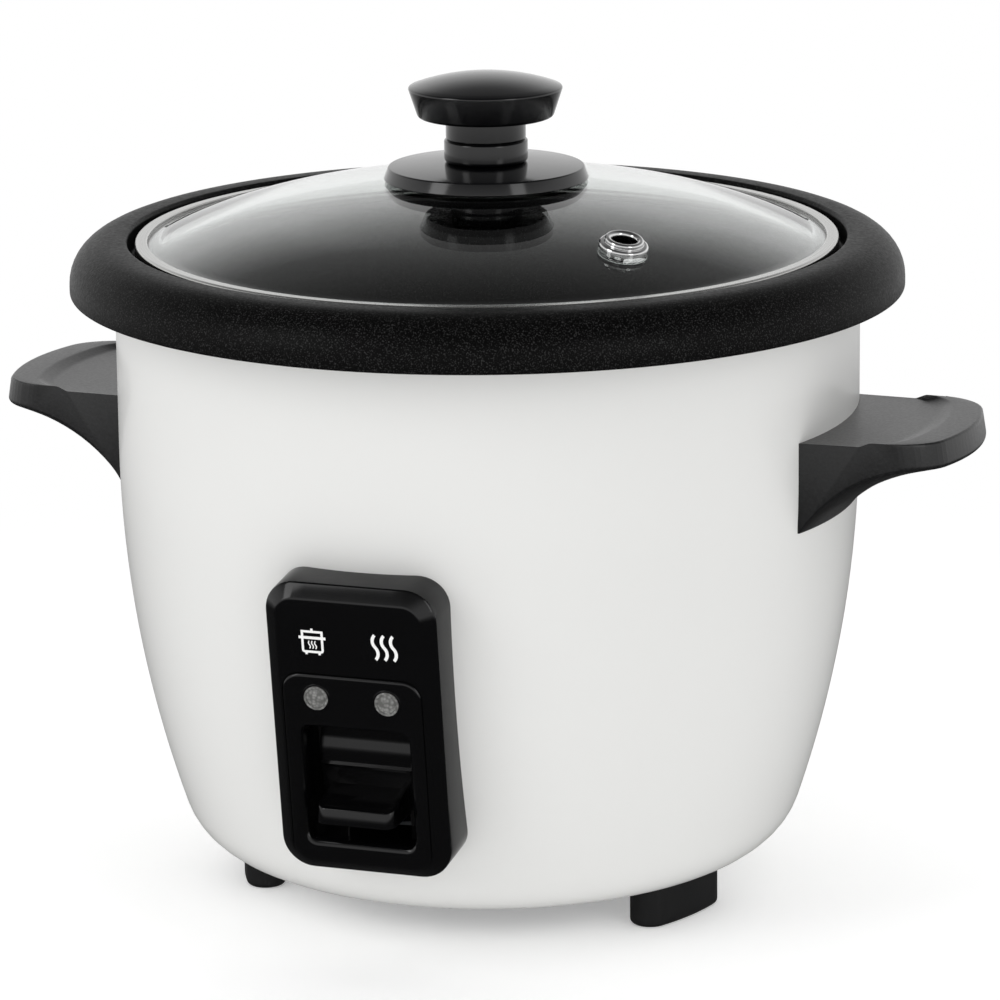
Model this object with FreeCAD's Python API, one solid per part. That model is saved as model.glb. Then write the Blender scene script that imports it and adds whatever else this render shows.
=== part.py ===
import FreeCAD, Part
import math
import os

# Rice cooker with a drop-in pot, a glass lid and a one-lever magnetic switch.
# Millimetres, +Z up, the table at z = 0, the control panel towards -Y.

# Body shell
body_radius = 101.7
body_wall = 1.2
body_bottom = 11.5
taper_top = 125.0
taper_in = 16.0
heel_height = 13.5

# Base, feet and their screws
base_plate_inset = 5.0
base_plate_thickness = 2.0
vent_count = 12
vent_width = 4.0
vent_corner = 1.9
vent_inner = 20.0
vent_margin = 8.0
bottom_opening_inset = 16.0
foot_inset = 31.7
foot_width = 11.0
foot_span_deg = 19.0
front_foot_deg = 70.0
rear_foot_deg = 180.0
foot_edge = 1.5
foot_screw_sink = 5.0

# Screws, shared by feet, handles and heating plate
screw_radius = 2.0
screw_head_radius = 4.0
screw_head_height = 2.4
screw_clearance = 0.25

# Liner, the well that the pot drops into
liner_gap = 6.5
liner_wall = 0.8
liner_floor = 50.0
liner_corner = 20.0
liner_hole = 16.0

# Heating plate and its element
plate_thickness = 9.0
plate_hole = 17.5
plate_leg_height = 8.2
plate_leg_radius = 6.0
plate_leg_inset = 9.5
plate_leg_count = 3
plate_edge = 2.0
element_inset = 22.0
element_radius = 4.0
element_gap_deg = 40.0
element_tail = 12.0
element_tail_room = 2.0

# Cooking pot
pot_height = 114.3
pot_gap = 1.6
pot_wall = 1.6
pot_corner = 15.0
step_depth = 6.3
step_width = 8.0
rim_flat = 4.3
rim_curl = 11.6
rim_lip = 2.7
rim_clearance = 1.6
rim_edge = 1.2

# Lid
band_gap = 2.1
band_height = 5.8
band_sheet = 1.0
band_grip = 4.4
glass_thickness = 4.0
glass_rise = 17.0
crown_inset = 33.9
crown_drop = 7.2
knob_hole_radius = 3.2

# Steam vent eyelet
vent_inset = 27.9
vent_turn_deg = 51.0
eyelet_flange = 6.6
eyelet_barrel = 4.4
eyelet_bore = 3.3
eyelet_thick = 1.4
eyelet_collar = 5.1

# Knob
seat_radius = 28.0
seat_height = 2.8
seat_edge = 1.6
seat_lip = 1.8
seat_draft = 1.3
gasket_radius = 26.0
gasket_thickness = 1.0
gasket_play = 0.08
ring_radius = 11.4
ring_height = 6.2
neck_radius = 10.9
neck_height = 6.2
cap_radius = 21.1
cap_height = 11.9
cap_base_radius = 18.4
cap_crown = 3.8
cap_edge = 0.8
knob_screw_radius = 2.5
knob_screw_head = 8.0
knob_screw_depth = 12.0

# Control panel, on a leaning plane in front of the body
panel_mid = 60.0
panel_tilt = 7.75
panel_standoff = 7.6
panel_half_width = 23.5
panel_low = -30.0
panel_high = 51.4
panel_corner = 8.5
panel_front = 3.5
panel_edge = 2.6
panel_wall = 2.2
plate_half_width = 19.2
plate_low = -27.0
plate_high = 27.0
plate_corner = 5.0
plate_sink = 1.0
plate_proud = 0.6
plate_round = 0.5
window_half_width = 14.8
window_low = -20.6
window_high = 11.9
window_corner = 2.5
window_wall = 1.5

# Signal lamps
lamp_spacing = 19.5
lamp_height = 20.5
lens_radius = 3.3
lens_proud = 0.6
lens_flange = 1.0
lamp_radius = 2.4
lamp_holder_depth = 2.6

# Switch lever, hinged across the body
pivot_reach = 52.0
pivot_height = 36.0
pivot_radius = 1.5
pivot_play = 0.06
pivot_boss = 4.0
arm_width = 14.0
arm_thickness = 2.0
paddle_width = 21.4
paddle_proud = 5.4
paddle_lip = 4.2
paddle_lip_low = 45.6
paddle_rise_deg = 18.0
paddle_edge = 1.2
shield_half_width = 13.0
shield_set_back = 8.7
shield_thickness = 1.2
shield_low = -14.0
shield_high = 9.0
shield_corner = 2.0
slot_half_width = 9.0
slot_low = 33.5
slot_high = 50.5
fork_gap = 3.2
fork_pin_radius = 1.5
fork_room = 2.0
fork_play = 0.3

# Lever bracket and contact switch
cheek_gap = 0.6
cheek_thickness = 1.2
cheek_length = 16.0
bracket_sheet = 1.2
pin_overhang = 2.0
contact_length = 18.0
contact_width = 10.0
contact_height = 8.0
contact_gap = 3.0
contact_plunger = 1.6

# Magnetic thermostat in the middle
guide_flange = 21.0
guide_flange_thickness = 1.5
guide_wall = 1.6
guide_drop = 3.5
guide_rise = 7.0
magnet_radius = 7.0
magnet_height = 8.0
magnet_play = 0.4
magnet_lift = 5.3
rod_radius = 2.5
collar_radius = 6.5
collar_thickness = 2.0
ferrite_radius = 10.0
ferrite_thickness = 4.0
sensor_radius = 16.0
sensor_wall = 1.0
sensor_edge = 1.5
sensor_height = 14.0
sensor_travel = 1.0
spring_radius = 13.0
spring_wire = 0.6
spring_turns = 5
spring_arcs = 4

# Wiring pieces under the liner
block_length = 30.0
block_width = 12.0
block_height = 10.0
fuse_radius = 2.5
fuse_length = 24.0
fuse_reach = 38.0
fuse_clip_width = 8.0
fuse_clip_wall = 1.2

# Side handles
handle_length = 36.9
handle_half_width = 30.0
handle_tip_half_width = 28.6
handle_bow = 5.0
handle_corner = 8.0
handle_top = 136.6
handle_bottom = 112.0
handle_lip = 1.2
handle_lip_length = 10.0
handle_tip_thickness = 7.0
handle_throat = 4.5
handle_throat_height = 4.5
handle_under_deg = 12.0
handle_screw_spread = 14.0
handle_screw_depth = 10.0

# Power inlet at the back
inlet_height = 36.5
inlet_half_width = 18.0
inlet_half_height = 13.0
inlet_corner = 4.0
inlet_standoff = 5.5
inlet_mouth_half_width = 12.0
inlet_mouth_half_height = 7.5
inlet_depth = 19.0
inlet_wall = 2.0
inlet_pin_radius = 2.0
inlet_pin_spacing = 12.0
inlet_pin_length = 14.0
inlet_tail = 6.0

# How far a cut runs past what it cuts
over = 1.0

# Sizes, heights and places that follow from the sizes above
foot_outer = body_radius - foot_inset
base_plate_radius = foot_outer - base_plate_inset
bottom_opening_radius = foot_outer - bottom_opening_inset
vent_outer = bottom_opening_radius - vent_margin
liner_radius = body_radius - body_wall - liner_gap
plate_radius = liner_radius - liner_corner
plate_leg_circle = plate_radius - plate_leg_inset
element_circle = plate_radius - element_inset
pot_radius = liner_radius - liner_wall - pot_gap
handle_reach = body_radius + handle_length
plate_bottom = liner_floor + liner_wall + plate_leg_height
pot_bottom = plate_bottom + plate_thickness
rim_top = pot_bottom + pot_height
ledge = rim_top - step_depth
ledge_radius = pot_radius - pot_wall + step_width
body_top = ledge - pot_wall - rim_clearance - liner_wall
band_radius = ledge_radius - band_gap
crown_radius = band_radius - crown_inset
vent_reach = band_radius - vent_inset
heel_top = body_bottom + heel_height
body_lean = 2 * math.atan(taper_in / (taper_top - heel_top))
heel_arc = heel_height / (1 - math.sin(body_lean))
heel_radius = body_radius - taper_in - heel_arc * math.cos(body_lean)
taper_arc = (taper_in ** 2 + (taper_top - heel_top) ** 2) / (2 * taper_in)

origin = FreeCAD.Vector(0, 0, 0)
up = FreeCAD.Vector(0, 0, 1)
right = FreeCAD.Vector(1, 0, 0)
back = FreeCAD.Vector(0, 1, 0)


def body_radius_at(height):
    """Outer radius of the body on its tapered wall."""
    drop = max(taper_top - height, 0.0)
    return body_radius - taper_arc + math.sqrt(taper_arc ** 2 - drop ** 2)


panel_plane = body_radius_at(panel_mid) + panel_standoff
panel_place = FreeCAD.Placement(
    FreeCAD.Vector(0, -panel_plane, panel_mid), FreeCAD.Rotation(right, 90 + panel_tilt))


def section(r, z):
    """A point of a turned profile."""
    return FreeCAD.Vector(r, 0, z)


def plan(x, y):
    """A point seen from above."""
    return FreeCAD.Vector(x, y, 0)


def side(y, z):
    """A point seen from the right."""
    return FreeCAD.Vector(0, y, z)


def front(x, z):
    """A point seen from the front."""
    return FreeCAD.Vector(x, 0, z)


def outline(corners, place):
    """A closed face through corners (a, b) or (a, b, rounding radius)."""
    spots = [place(corner[0], corner[1]) for corner in corners]
    radii = [corner[2] if len(corner) > 2 else 0.0 for corner in corners]
    turns = []
    for i, spot in enumerate(spots):
        before = (spots[i - 1] - spot).normalize()
        after = (spots[(i + 1) % len(spots)] - spot).normalize()
        half = before.getAngle(after) / 2
        reach = radii[i] / math.tan(half)
        inward = (before + after).normalize() if radii[i] else origin
        middle = spot + inward * (radii[i] / math.sin(half) - radii[i])
        turns.append((spot + before * reach, middle, spot + after * reach))
    edges = []
    for i, turn in enumerate(turns):
        if turns[i - 1][2].distanceToPoint(turn[0]) > 1e-6:
            edges.append(Part.makeLine(turns[i - 1][2], turn[0]))
        if radii[i]:
            edges.append(Part.Arc(*turn).toShape())
    return Part.Face(Part.Wire(edges))


def turned(corners):
    """A solid of revolution about the vertical axis."""
    return outline(corners, section).revolve(origin, up, 360)


def rectangle(left, low, wide_right, high, radius=0.0):
    """Corners of a rectangle with rounded corners."""
    return [(left, low, radius), (wide_right, low, radius),
            (wide_right, high, radius), (left, high, radius)]


def slab(corners, low, high):
    """An outline in plan, standing from low to high."""
    face = outline(corners, plan)
    face.translate(up * low)
    return face.extrude(up * (high - low))


def rod(radius, start, end):
    """A round bar between two points."""
    run = end - start
    return Part.makeCylinder(radius, run.Length, start, run)


def block(x0, y0, z0, x1, y1, z1):
    """A plain block between two corners."""
    return Part.makeBox(x1 - x0, y1 - y0, z1 - z0, FreeCAD.Vector(x0, y0, z0))


def turn(shape, degrees):
    """A copy turned about the vertical axis."""
    return shape.copy().rotate(origin, up, degrees)


def soften(solid, radius, wanted):
    """Rounds the edges that wanted picks."""
    return solid.makeFillet(radius, [edge for edge in solid.Edges if wanted(edge)])


def on_panel(shape):
    """Puts a shape drawn flat onto the leaning plane of the panel."""
    placed = shape.copy()
    placed.Placement = panel_place.multiply(placed.Placement)
    return placed


def smooth_arc(start, heading, end):
    """An arc from start to end that leaves along heading, and its heading at the end."""
    chord = end - start
    along = FreeCAD.Vector(chord).normalize()
    across = heading - along * heading.dot(along)
    angle = math.atan2(across.Length, heading.dot(along))
    across.normalize()
    middle = start + chord * 0.5 + across * (chord.Length / 2 * math.tan(angle / 2))
    leaving = along * math.cos(angle) - across * math.sin(angle)
    return Part.Arc(start, middle, end).toShape(), leaving


def body_solid(inset, top):
    """The body's turned form, drawn in by inset and filled to its axis."""
    shoulder = section(body_radius - inset, top)
    straight_end = section(body_radius - inset, taper_top)
    taper_end = section(
        body_radius - taper_in - inset * math.cos(body_lean), heel_top + inset * math.sin(body_lean))
    heel_end = section(heel_radius, body_bottom + inset)
    taper, heading = smooth_arc(straight_end, -up, taper_end)
    heel, heading = smooth_arc(taper_end, heading, heel_end)
    foot_centre = section(0, body_bottom + inset)
    top_centre = section(0, top)
    edges = [Part.makeLine(shoulder, straight_end), taper, heel, Part.makeLine(heel_end, foot_centre),
             Part.makeLine(foot_centre, top_centre), Part.makeLine(top_centre, shoulder)]
    return Part.Face(Part.Wire(edges)).revolve(origin, up, 360)


body_fill = body_solid(0, body_top)
body_inside = body_solid(body_wall, body_top + over)


# Feet and base

def foot_solid():
    """A curved strip with round ends, under the middle of the front edge."""
    inner = foot_outer - foot_width
    middle = foot_outer - foot_width / 2
    ring = Part.makeCylinder(foot_outer, body_bottom, origin, up, foot_span_deg)
    ring = ring.cut(Part.makeCylinder(inner, body_bottom))
    start = section(middle, 0)
    for degrees in (0, foot_span_deg):
        end = Part.makeCylinder(foot_width / 2, body_bottom, start)
        ring = ring.fuse(turn(end, degrees))
    ring = ring.removeSplitter()
    ring = soften(ring, foot_edge, lambda edge: edge.BoundBox.ZMax < 1e-6)
    return turn(ring, -90 - foot_span_deg / 2)


def foot_screw_axis(degrees):
    """Where the screw of a foot stands, degrees from the front."""
    angle = math.radians(degrees - 90)
    reach = foot_outer - foot_width / 2
    return FreeCAD.Vector(reach * math.cos(angle), reach * math.sin(angle), 0)


foot_angles = {"foot_front_right": front_foot_deg, "foot_front_left": -front_foot_deg,
               "foot_rear": rear_foot_deg}
base_low = body_bottom + body_wall
base_top = base_low + base_plate_thickness

feet = {}
foot_screws = []
foot_shanks = []
for name, degrees in foot_angles.items():
    spot = foot_screw_axis(degrees)
    seat = spot + up * foot_screw_sink
    sink = rod(screw_head_radius + screw_clearance, spot, seat)
    shank = rod(screw_radius, seat - up, spot + up * base_top)
    feet[name] = turn(foot_solid(), degrees).cut(sink).cut(shank)
    head = rod(screw_head_radius, seat - up * screw_head_height, seat)
    foot_screws.append(head.fuse(shank).removeSplitter())
    foot_shanks.append(shank)

base_plate = Part.makeCylinder(base_plate_radius, base_plate_thickness, up * base_low)
vent = slab(rectangle(vent_inner, -vent_width / 2, vent_outer, vent_width / 2, vent_corner),
            base_low, base_top)
for i in range(vent_count):
    base_plate = base_plate.cut(turn(vent, i * 360 / vent_count))
for shank in foot_shanks:
    base_plate = base_plate.cut(shank)


# Heating plate, its element and the liner

def element_solid():
    """A round tube bent into an open ring, with its two tails turned down."""
    ring = Part.makeTorus(
        element_circle, element_radius, up * plate_bottom, up, -180, 180, 360 - element_gap_deg)
    ring = turn(ring, 90 + element_gap_deg / 2)
    for degrees in (90 - element_gap_deg / 2, 90 + element_gap_deg / 2):
        corner = turn(Part.Vertex(section(element_circle, plate_bottom)), degrees).Point
        ring = ring.fuse(Part.makeSphere(element_radius, corner))
        ring = ring.fuse(rod(element_radius, corner - up * (plate_leg_height + element_tail), corner))
    return ring.removeSplitter()


heating_element = element_solid()
heating_plate = turned([(plate_hole, plate_bottom), (plate_radius, plate_bottom, plate_edge),
                        (plate_radius, pot_bottom, plate_edge), (plate_hole, pot_bottom)])
plate_screws = []
plate_shanks = []
for i in range(plate_leg_count):
    spot = turn(Part.Vertex(section(plate_leg_circle, 0)), 90 + i * 360 / plate_leg_count).Point
    leg_foot = spot + up * (liner_floor + liner_wall)
    leg = rod(plate_leg_radius, leg_foot, spot + up * (plate_bottom + plate_edge))
    shank = rod(screw_radius, spot + up * liner_floor, spot + up * plate_bottom)
    head = rod(screw_head_radius, spot + up * (liner_floor - screw_head_height), spot + up * liner_floor)
    heating_plate = heating_plate.fuse(leg).cut(shank)
    plate_screws.append(head.fuse(shank).removeSplitter())
    plate_shanks.append(shank)
element_groove = Part.makeTorus(element_circle, element_radius, up * plate_bottom)
heating_plate = heating_plate.removeSplitter().cut(element_groove)

inner_liner = turned([
    (liner_hole, liner_floor), (liner_radius, liner_floor, liner_corner), (liner_radius, body_top),
    (body_radius, body_top), (body_radius, body_top + liner_wall),
    (liner_radius - liner_wall, body_top + liner_wall),
    (liner_radius - liner_wall, liner_floor + liner_wall, liner_corner - liner_wall),
    (liner_hole, liner_floor + liner_wall)])
for shank in plate_shanks:
    inner_liner = inner_liner.cut(shank)
for degrees in (90 - element_gap_deg / 2, 90 + element_gap_deg / 2):
    spot = turn(Part.Vertex(section(element_circle, 0)), degrees).Point
    inner_liner = inner_liner.cut(rod(element_radius + element_tail_room, spot, spot + up * plate_bottom))


# Cooking pot, one drawn sheet with a stepped and curled rim

curl_radius = ledge_radius + rim_flat + rim_curl
lip_low = rim_top - rim_curl - rim_lip
step_outside = ledge_radius + pot_wall
cooking_pot = turned([
    (0, pot_bottom), (pot_radius, pot_bottom, pot_corner), (pot_radius, ledge - pot_wall, rim_edge),
    (step_outside, ledge - pot_wall, rim_edge), (step_outside, rim_top - pot_wall),
    (curl_radius - pot_wall, rim_top - pot_wall, rim_curl - pot_wall), (curl_radius - pot_wall, lip_low),
    (curl_radius, lip_low), (curl_radius, rim_top, rim_curl), (ledge_radius, rim_top, rim_edge),
    (ledge_radius, ledge), (pot_radius - pot_wall, ledge, rim_edge),
    (pot_radius - pot_wall, pot_bottom + pot_wall, pot_corner - pot_wall), (0, pot_bottom + pot_wall)])

# The bowl and its curled rim are solids that meet below the ledge
bowl_top = ledge - pot_wall - 2 * rim_edge
bowl_room = rod(pot_radius + over, up * (pot_bottom - over), up * bowl_top)
pot_rim = cooking_pot.cut(bowl_room)
cooking_pot = cooking_pot.common(bowl_room)


# Lid: a domed glass in a folded steel band

glass_low = ledge + band_sheet
glass_edge = band_radius - band_sheet
glass_flat = band_radius - band_grip
glass_rim_top = glass_low + glass_thickness
glass_top = glass_rim_top + glass_rise
band_top = ledge + band_height


def dome_edges(sink):
    """The dome's two arcs from its axis out to the flat edge, sunk below the top face."""
    apex = section(0, glass_top - sink)
    crown_arc = (crown_radius ** 2 + crown_drop ** 2) / (2 * crown_drop)
    lean = math.asin(crown_radius / crown_arc)
    shoulder = section(
        crown_radius - sink * math.sin(lean), glass_top - crown_drop - sink * math.cos(lean))
    crown, heading = smooth_arc(apex, right, shoulder)
    skirt_end = section(glass_flat - sink / 2, glass_rim_top - sink)
    skirt, heading = smooth_arc(shoulder, heading, skirt_end)
    return apex, crown, skirt, skirt_end


def dome_solid():
    """The glass: its dome, flat edge and even thickness."""
    top_apex, top_crown, top_skirt, top_end = dome_edges(0)
    low_apex, low_crown, low_skirt, low_end = dome_edges(glass_thickness)
    edge_top = section(glass_edge, glass_rim_top)
    edge_low = section(glass_edge, glass_low)
    edges = [top_crown, top_skirt, Part.makeLine(top_end, edge_top), Part.makeLine(edge_top, edge_low),
             Part.makeLine(edge_low, low_end), low_skirt, low_crown, Part.makeLine(low_apex, top_apex)]
    return Part.Face(Part.Wire(Part.__sortEdges__(edges))).revolve(origin, up, 360)


def dome_fill():
    """Everything below the top face of the dome."""
    apex, crown, skirt, end = dome_edges(0)
    floor_end = section(end.x, glass_low)
    floor_centre = section(0, glass_low)
    edges = [crown, skirt, Part.makeLine(end, floor_end), Part.makeLine(floor_end, floor_centre),
             Part.makeLine(floor_centre, apex)]
    return Part.Face(Part.Wire(Part.__sortEdges__(edges))).revolve(origin, up, 360)


glass_below = dome_fill()
lid_band = turned([
    (glass_flat, ledge), (band_radius, ledge, band_sheet), (band_radius, band_top, band_sheet),
    (glass_flat + band_sheet, band_top), (glass_flat + band_sheet, glass_rim_top),
    (glass_edge, glass_rim_top), (glass_edge, glass_low), (glass_flat, glass_low)])


def crown_height(radius):
    """Height of the glass's top face inside the crown."""
    crown_arc = (crown_radius ** 2 + crown_drop ** 2) / (2 * crown_drop)
    return glass_top - crown_arc + math.sqrt(crown_arc ** 2 - radius ** 2)


def vent_axis():
    """The point on the glass where the eyelet sits, and the glass's normal there."""
    probe = Part.makeLine(section(vent_reach, glass_low), section(vent_reach, glass_top + glass_thickness))
    skin = dome_edges(0)[2]
    spot = probe.distToShape(skin)[1][0][1]
    heading = skin.tangentAt(skin.Curve.parameter(spot))
    normal = FreeCAD.Vector(-heading.z, 0, heading.x)
    if normal.z < 0:
        normal = -normal
    return spot, normal


vent_spot, vent_normal = vent_axis()
vent_hole = rod(eyelet_barrel, vent_spot - vent_normal * 3 * glass_thickness,
                vent_spot + vent_normal * glass_thickness)
lid_glass = dome_solid().cut(turn(vent_hole, vent_turn_deg - 90))
lid_glass = lid_glass.cut(rod(knob_hole_radius, up * glass_low, up * (glass_top + glass_thickness)))


def eyelet_solid():
    """A rolled metal grommet: two flanges, an upper collar and a barrel through the glass."""
    def disc(radius, low, high):
        return rod(radius, vent_spot + vent_normal * low, vent_spot + vent_normal * high)
    top = disc(eyelet_flange, -eyelet_thick, eyelet_thick)
    top = soften(top, eyelet_thick / 2, lambda edge: edge.distToShape(
        Part.Vertex(vent_spot + vent_normal * eyelet_thick))[0] < eyelet_flange + 1e-6
        and edge.CenterOfMass.distanceToPoint(vent_spot + vent_normal * eyelet_thick) < 1e-6)
    collar = disc(eyelet_collar, 0, 2 * eyelet_thick)
    low_face = -glass_thickness - eyelet_thick
    under = disc(eyelet_flange, low_face, -glass_thickness + eyelet_thick)
    barrel = disc(eyelet_barrel, low_face, eyelet_thick)
    metal = top.fuse(collar).fuse(under).cut(dome_solid()).fuse(barrel)
    bore = disc(eyelet_bore, low_face - over, 2 * eyelet_thick + over)
    return turn(metal.cut(bore).removeSplitter(), vent_turn_deg - 90)


vent_eyelet = eyelet_solid()


# Knob: gasket, seat, moulded grip and the screw from below

seat_low = glass_top + gasket_thickness
seat_top = seat_low + seat_height
ring_top = seat_top + ring_height
neck_top = ring_top + neck_height
cap_top = neck_top + cap_height
gasket_low = crown_height(gasket_radius) - gasket_thickness
knob_gasket = rod(gasket_radius, up * gasket_low, up * seat_low)
knob_gasket = knob_gasket.cut(glass_below.translated(up * gasket_play))
knob_gasket = knob_gasket.cut(rod(knob_hole_radius, up * glass_low, up * cap_top))
knob_seat = turned([
    (knob_hole_radius, seat_low), (gasket_radius + seat_draft / 4, seat_low),
    (gasket_radius + seat_draft / 4, seat_low - seat_lip), (seat_radius, seat_low - seat_lip),
    (seat_radius - seat_draft, seat_low + seat_edge, seat_draft / 2), (ring_radius, seat_top),
    (knob_hole_radius, seat_top)])


def knob_cap():
    """The grip: a flared side under a low dome, with a narrow rounded edge between them."""
    apex = section(0, cap_top)
    widest = section(cap_radius, cap_top - cap_crown)
    base_edge = section(cap_base_radius, neck_top)
    base_centre = section(0, neck_top)
    dome, heading = smooth_arc(apex, right, widest)
    edges = [dome, Part.makeLine(widest, base_edge), Part.makeLine(base_edge, base_centre),
             Part.makeLine(base_centre, apex)]
    cap = Part.Face(Part.Wire(edges)).revolve(origin, up, 360)
    cap = soften(cap, cap_edge, lambda edge: (
        edge.BoundBox.ZLength < 1e-6 and edge.BoundBox.XLength > cap_radius + cap_base_radius))
    return soften(
        cap, seat_draft, lambda edge: edge.BoundBox.ZMax < neck_top + 1e-6 and not edge.Degenerated)


stem = turned([
    (0, seat_top), (ring_radius, seat_top, seat_draft), (ring_radius, ring_top, seat_draft / 2),
    (neck_radius, ring_top), (neck_radius, neck_top), (0, neck_top)])
knob = stem.fuse(knob_cap()).removeSplitter()
screw_head_low = glass_top - glass_thickness - screw_head_height
screw_shank = rod(knob_screw_radius, up * screw_head_low, up * (seat_top + knob_screw_depth))
knob_screw = rod(knob_screw_head, up * screw_head_low, up * (glass_top - glass_thickness))
knob_screw = knob_screw.cut(dome_solid()).fuse(screw_shank).removeSplitter()
knob = knob.cut(screw_shank)


# Control panel

def window_outline(grow):
    """The switch window, grown on every side."""
    half_width = window_half_width + grow
    return rectangle(-half_width, window_low - grow, half_width, window_high + grow, window_corner + grow)


inside = -4 * panel_standoff
bezel = slab(rectangle(-panel_half_width, panel_low, panel_half_width, panel_high, panel_corner),
             inside, panel_front)
bezel = soften(bezel, panel_edge, lambda edge: edge.BoundBox.ZMin > panel_front - 1e-6)
hollow_half = panel_half_width - panel_wall
hollow = slab(rectangle(-hollow_half, panel_low + panel_wall, hollow_half, panel_high - panel_wall,
                        panel_corner - panel_wall), inside, panel_front - panel_wall)
collar = slab(window_outline(window_wall), inside, panel_front - panel_wall / 2)
recess_floor = panel_front - plate_sink
recess = slab(rectangle(-plate_half_width, plate_low, plate_half_width, plate_high, plate_corner),
              recess_floor, panel_front + over)
plate_face = panel_front + plate_proud
window = slab(window_outline(0), inside, plate_face + over)
lamp_spots = {"cook": FreeCAD.Vector(-lamp_spacing / 2, lamp_height, 0),
              "warm": FreeCAD.Vector(lamp_spacing / 2, lamp_height, 0)}
control_bezel = bezel.cut(hollow).fuse(collar).cut(recess).cut(window)
control_plate = slab(rectangle(-plate_half_width, plate_low, plate_half_width, plate_high, plate_corner),
                     recess_floor, plate_face)
control_plate = soften(control_plate, plate_round, lambda edge: edge.BoundBox.ZMin > plate_face - 1e-6)
control_plate = control_plate.cut(window)
lens_back = panel_front - panel_wall
lenses = {}
lamps = {}
holder_face = -panel_standoff + lamp_holder_depth
lamp_holder = slab(rectangle(-lamp_spacing, lamp_height - 2 * lamp_radius, lamp_spacing,
                             lamp_height + 2 * lamp_radius, lamp_radius), inside, holder_face)
for name, spot in lamp_spots.items():
    flange_low = spot + up * (lens_back - lens_flange)
    barrel = rod(lens_radius, flange_low, spot + up * (plate_face + lens_proud))
    barrel = soften(barrel, lens_proud, lambda edge: edge.BoundBox.ZMin > plate_face)
    flange = rod(lens_radius + lens_flange, flange_low, spot + up * lens_back)
    lenses[name] = on_panel(barrel.fuse(flange).removeSplitter())
    hole = rod(lens_radius, spot + up * inside, spot + up * (plate_face + over))
    control_bezel = control_bezel.cut(hole)
    control_plate = control_plate.cut(hole)
    lamps[name] = on_panel(rod(lamp_radius, spot + up * holder_face, flange_low))
lamp_holder = on_panel(lamp_holder).cut(body_fill)
control_bezel = on_panel(control_bezel.removeSplitter()).cut(body_fill)
control_plate = on_panel(control_plate)


# Switch lever: moulded paddle on a bent steel arm with a forked end

pivot = side(-pivot_reach, pivot_height)
panel_lean = math.radians(panel_tilt)


def panel_depth(height, stand_off):
    """Distance from the axis of a plane parallel to the panel, at a height."""
    return panel_plane + (height - panel_mid) * math.tan(panel_lean) + stand_off / math.cos(panel_lean)


paddle_front = panel_depth(paddle_lip_low, panel_front) + paddle_proud
shield_front = panel_front - shield_set_back
paddle_root = panel_depth(paddle_lip_low, shield_front) - shield_thickness / 2
paddle_rise = (paddle_front - paddle_root) * math.tan(math.radians(paddle_rise_deg))
paddle = outline([
    (-paddle_front, paddle_lip_low, paddle_edge), (-paddle_root, paddle_lip_low),
    (-paddle_root, paddle_lip_low + paddle_lip + paddle_rise),
    (-paddle_front, paddle_lip_low + paddle_lip, paddle_edge)], side)
paddle.translate(right * (-paddle_width / 2))
paddle = paddle.extrude(right * paddle_width)
shield = slab(rectangle(-shield_half_width, shield_low, shield_half_width, shield_high, shield_corner),
              shield_front - shield_thickness, shield_front)
switch_paddle = paddle.fuse(on_panel(shield)).removeSplitter()

arm_half = arm_thickness / 2
arm_end = panel_depth(paddle_lip_low, shield_front - shield_thickness)
arm_seat = paddle_lip_low + paddle_lip / 2
bend_y = -body_radius_at(slot_low) + 4 * arm_thickness


def arm_strip():
    """The bent strip seen from the right, from the paddle to the fork."""
    spine = [(-arm_end, arm_seat), (bend_y, arm_seat - arm_half), (-pivot_reach, pivot_height),
             (0, pivot_height)]
    top = [(y, z + arm_half) for y, z in spine]
    low = [(y, z - arm_half) for y, z in reversed(spine)]
    return outline(top + low, side)


strip = arm_strip()
strip.translate(right * (-arm_width / 2))
lever_arm = strip.extrude(right * arm_width)
half = right * (arm_width / 2)
lever_arm = lever_arm.fuse(rod(pivot_boss, pivot - half, pivot + half))
fork_end = side(0, pivot_height)
lever_arm = lever_arm.fuse(rod(fork_pin_radius, fork_end - half, fork_end + half))
lever_arm = lever_arm.cut(block(-fork_gap, -collar_radius - fork_room, pivot_height - pivot_boss,
                                fork_gap, collar_radius, pivot_height + pivot_boss))
lever_arm = lever_arm.cut(rod(pivot_radius + pivot_play, pivot - half * 2, pivot + half * 2))
lever_arm = lever_arm.cut(on_panel(shield)).removeSplitter()

cheek_inside = arm_width / 2 + cheek_gap
cheek_outside = cheek_inside + cheek_thickness
bracket = block(-cheek_outside, -pivot_reach - cheek_length / 2, pivot_height - pivot_boss,
                cheek_outside, -pivot_reach + cheek_length / 2, liner_floor)
switch_bracket = bracket.cut(block(-cheek_inside, -pivot_reach - cheek_length, 0, cheek_inside, 0,
                                   liner_floor - bracket_sheet))
pin_half = right * (cheek_outside + pin_overhang)
pivot_pin = rod(pivot_radius, pivot - pin_half, pivot + pin_half)
switch_bracket = switch_bracket.cut(pivot_pin)

contact_y = -pivot_reach + cheek_length / 2 + contact_gap
micro_switch = block(-contact_width / 2, contact_y, liner_floor - contact_height,
                     contact_width / 2, contact_y + contact_length, liner_floor)
contact_middle = side(contact_y + contact_length / 2, liner_floor - contact_height)
plunger = rod(pivot_radius, contact_middle - up * contact_plunger, contact_middle + up)
micro_switch = micro_switch.fuse(plunger).removeSplitter()


# Thermostat: guide, lifting magnet, sprung sensor cap

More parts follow.
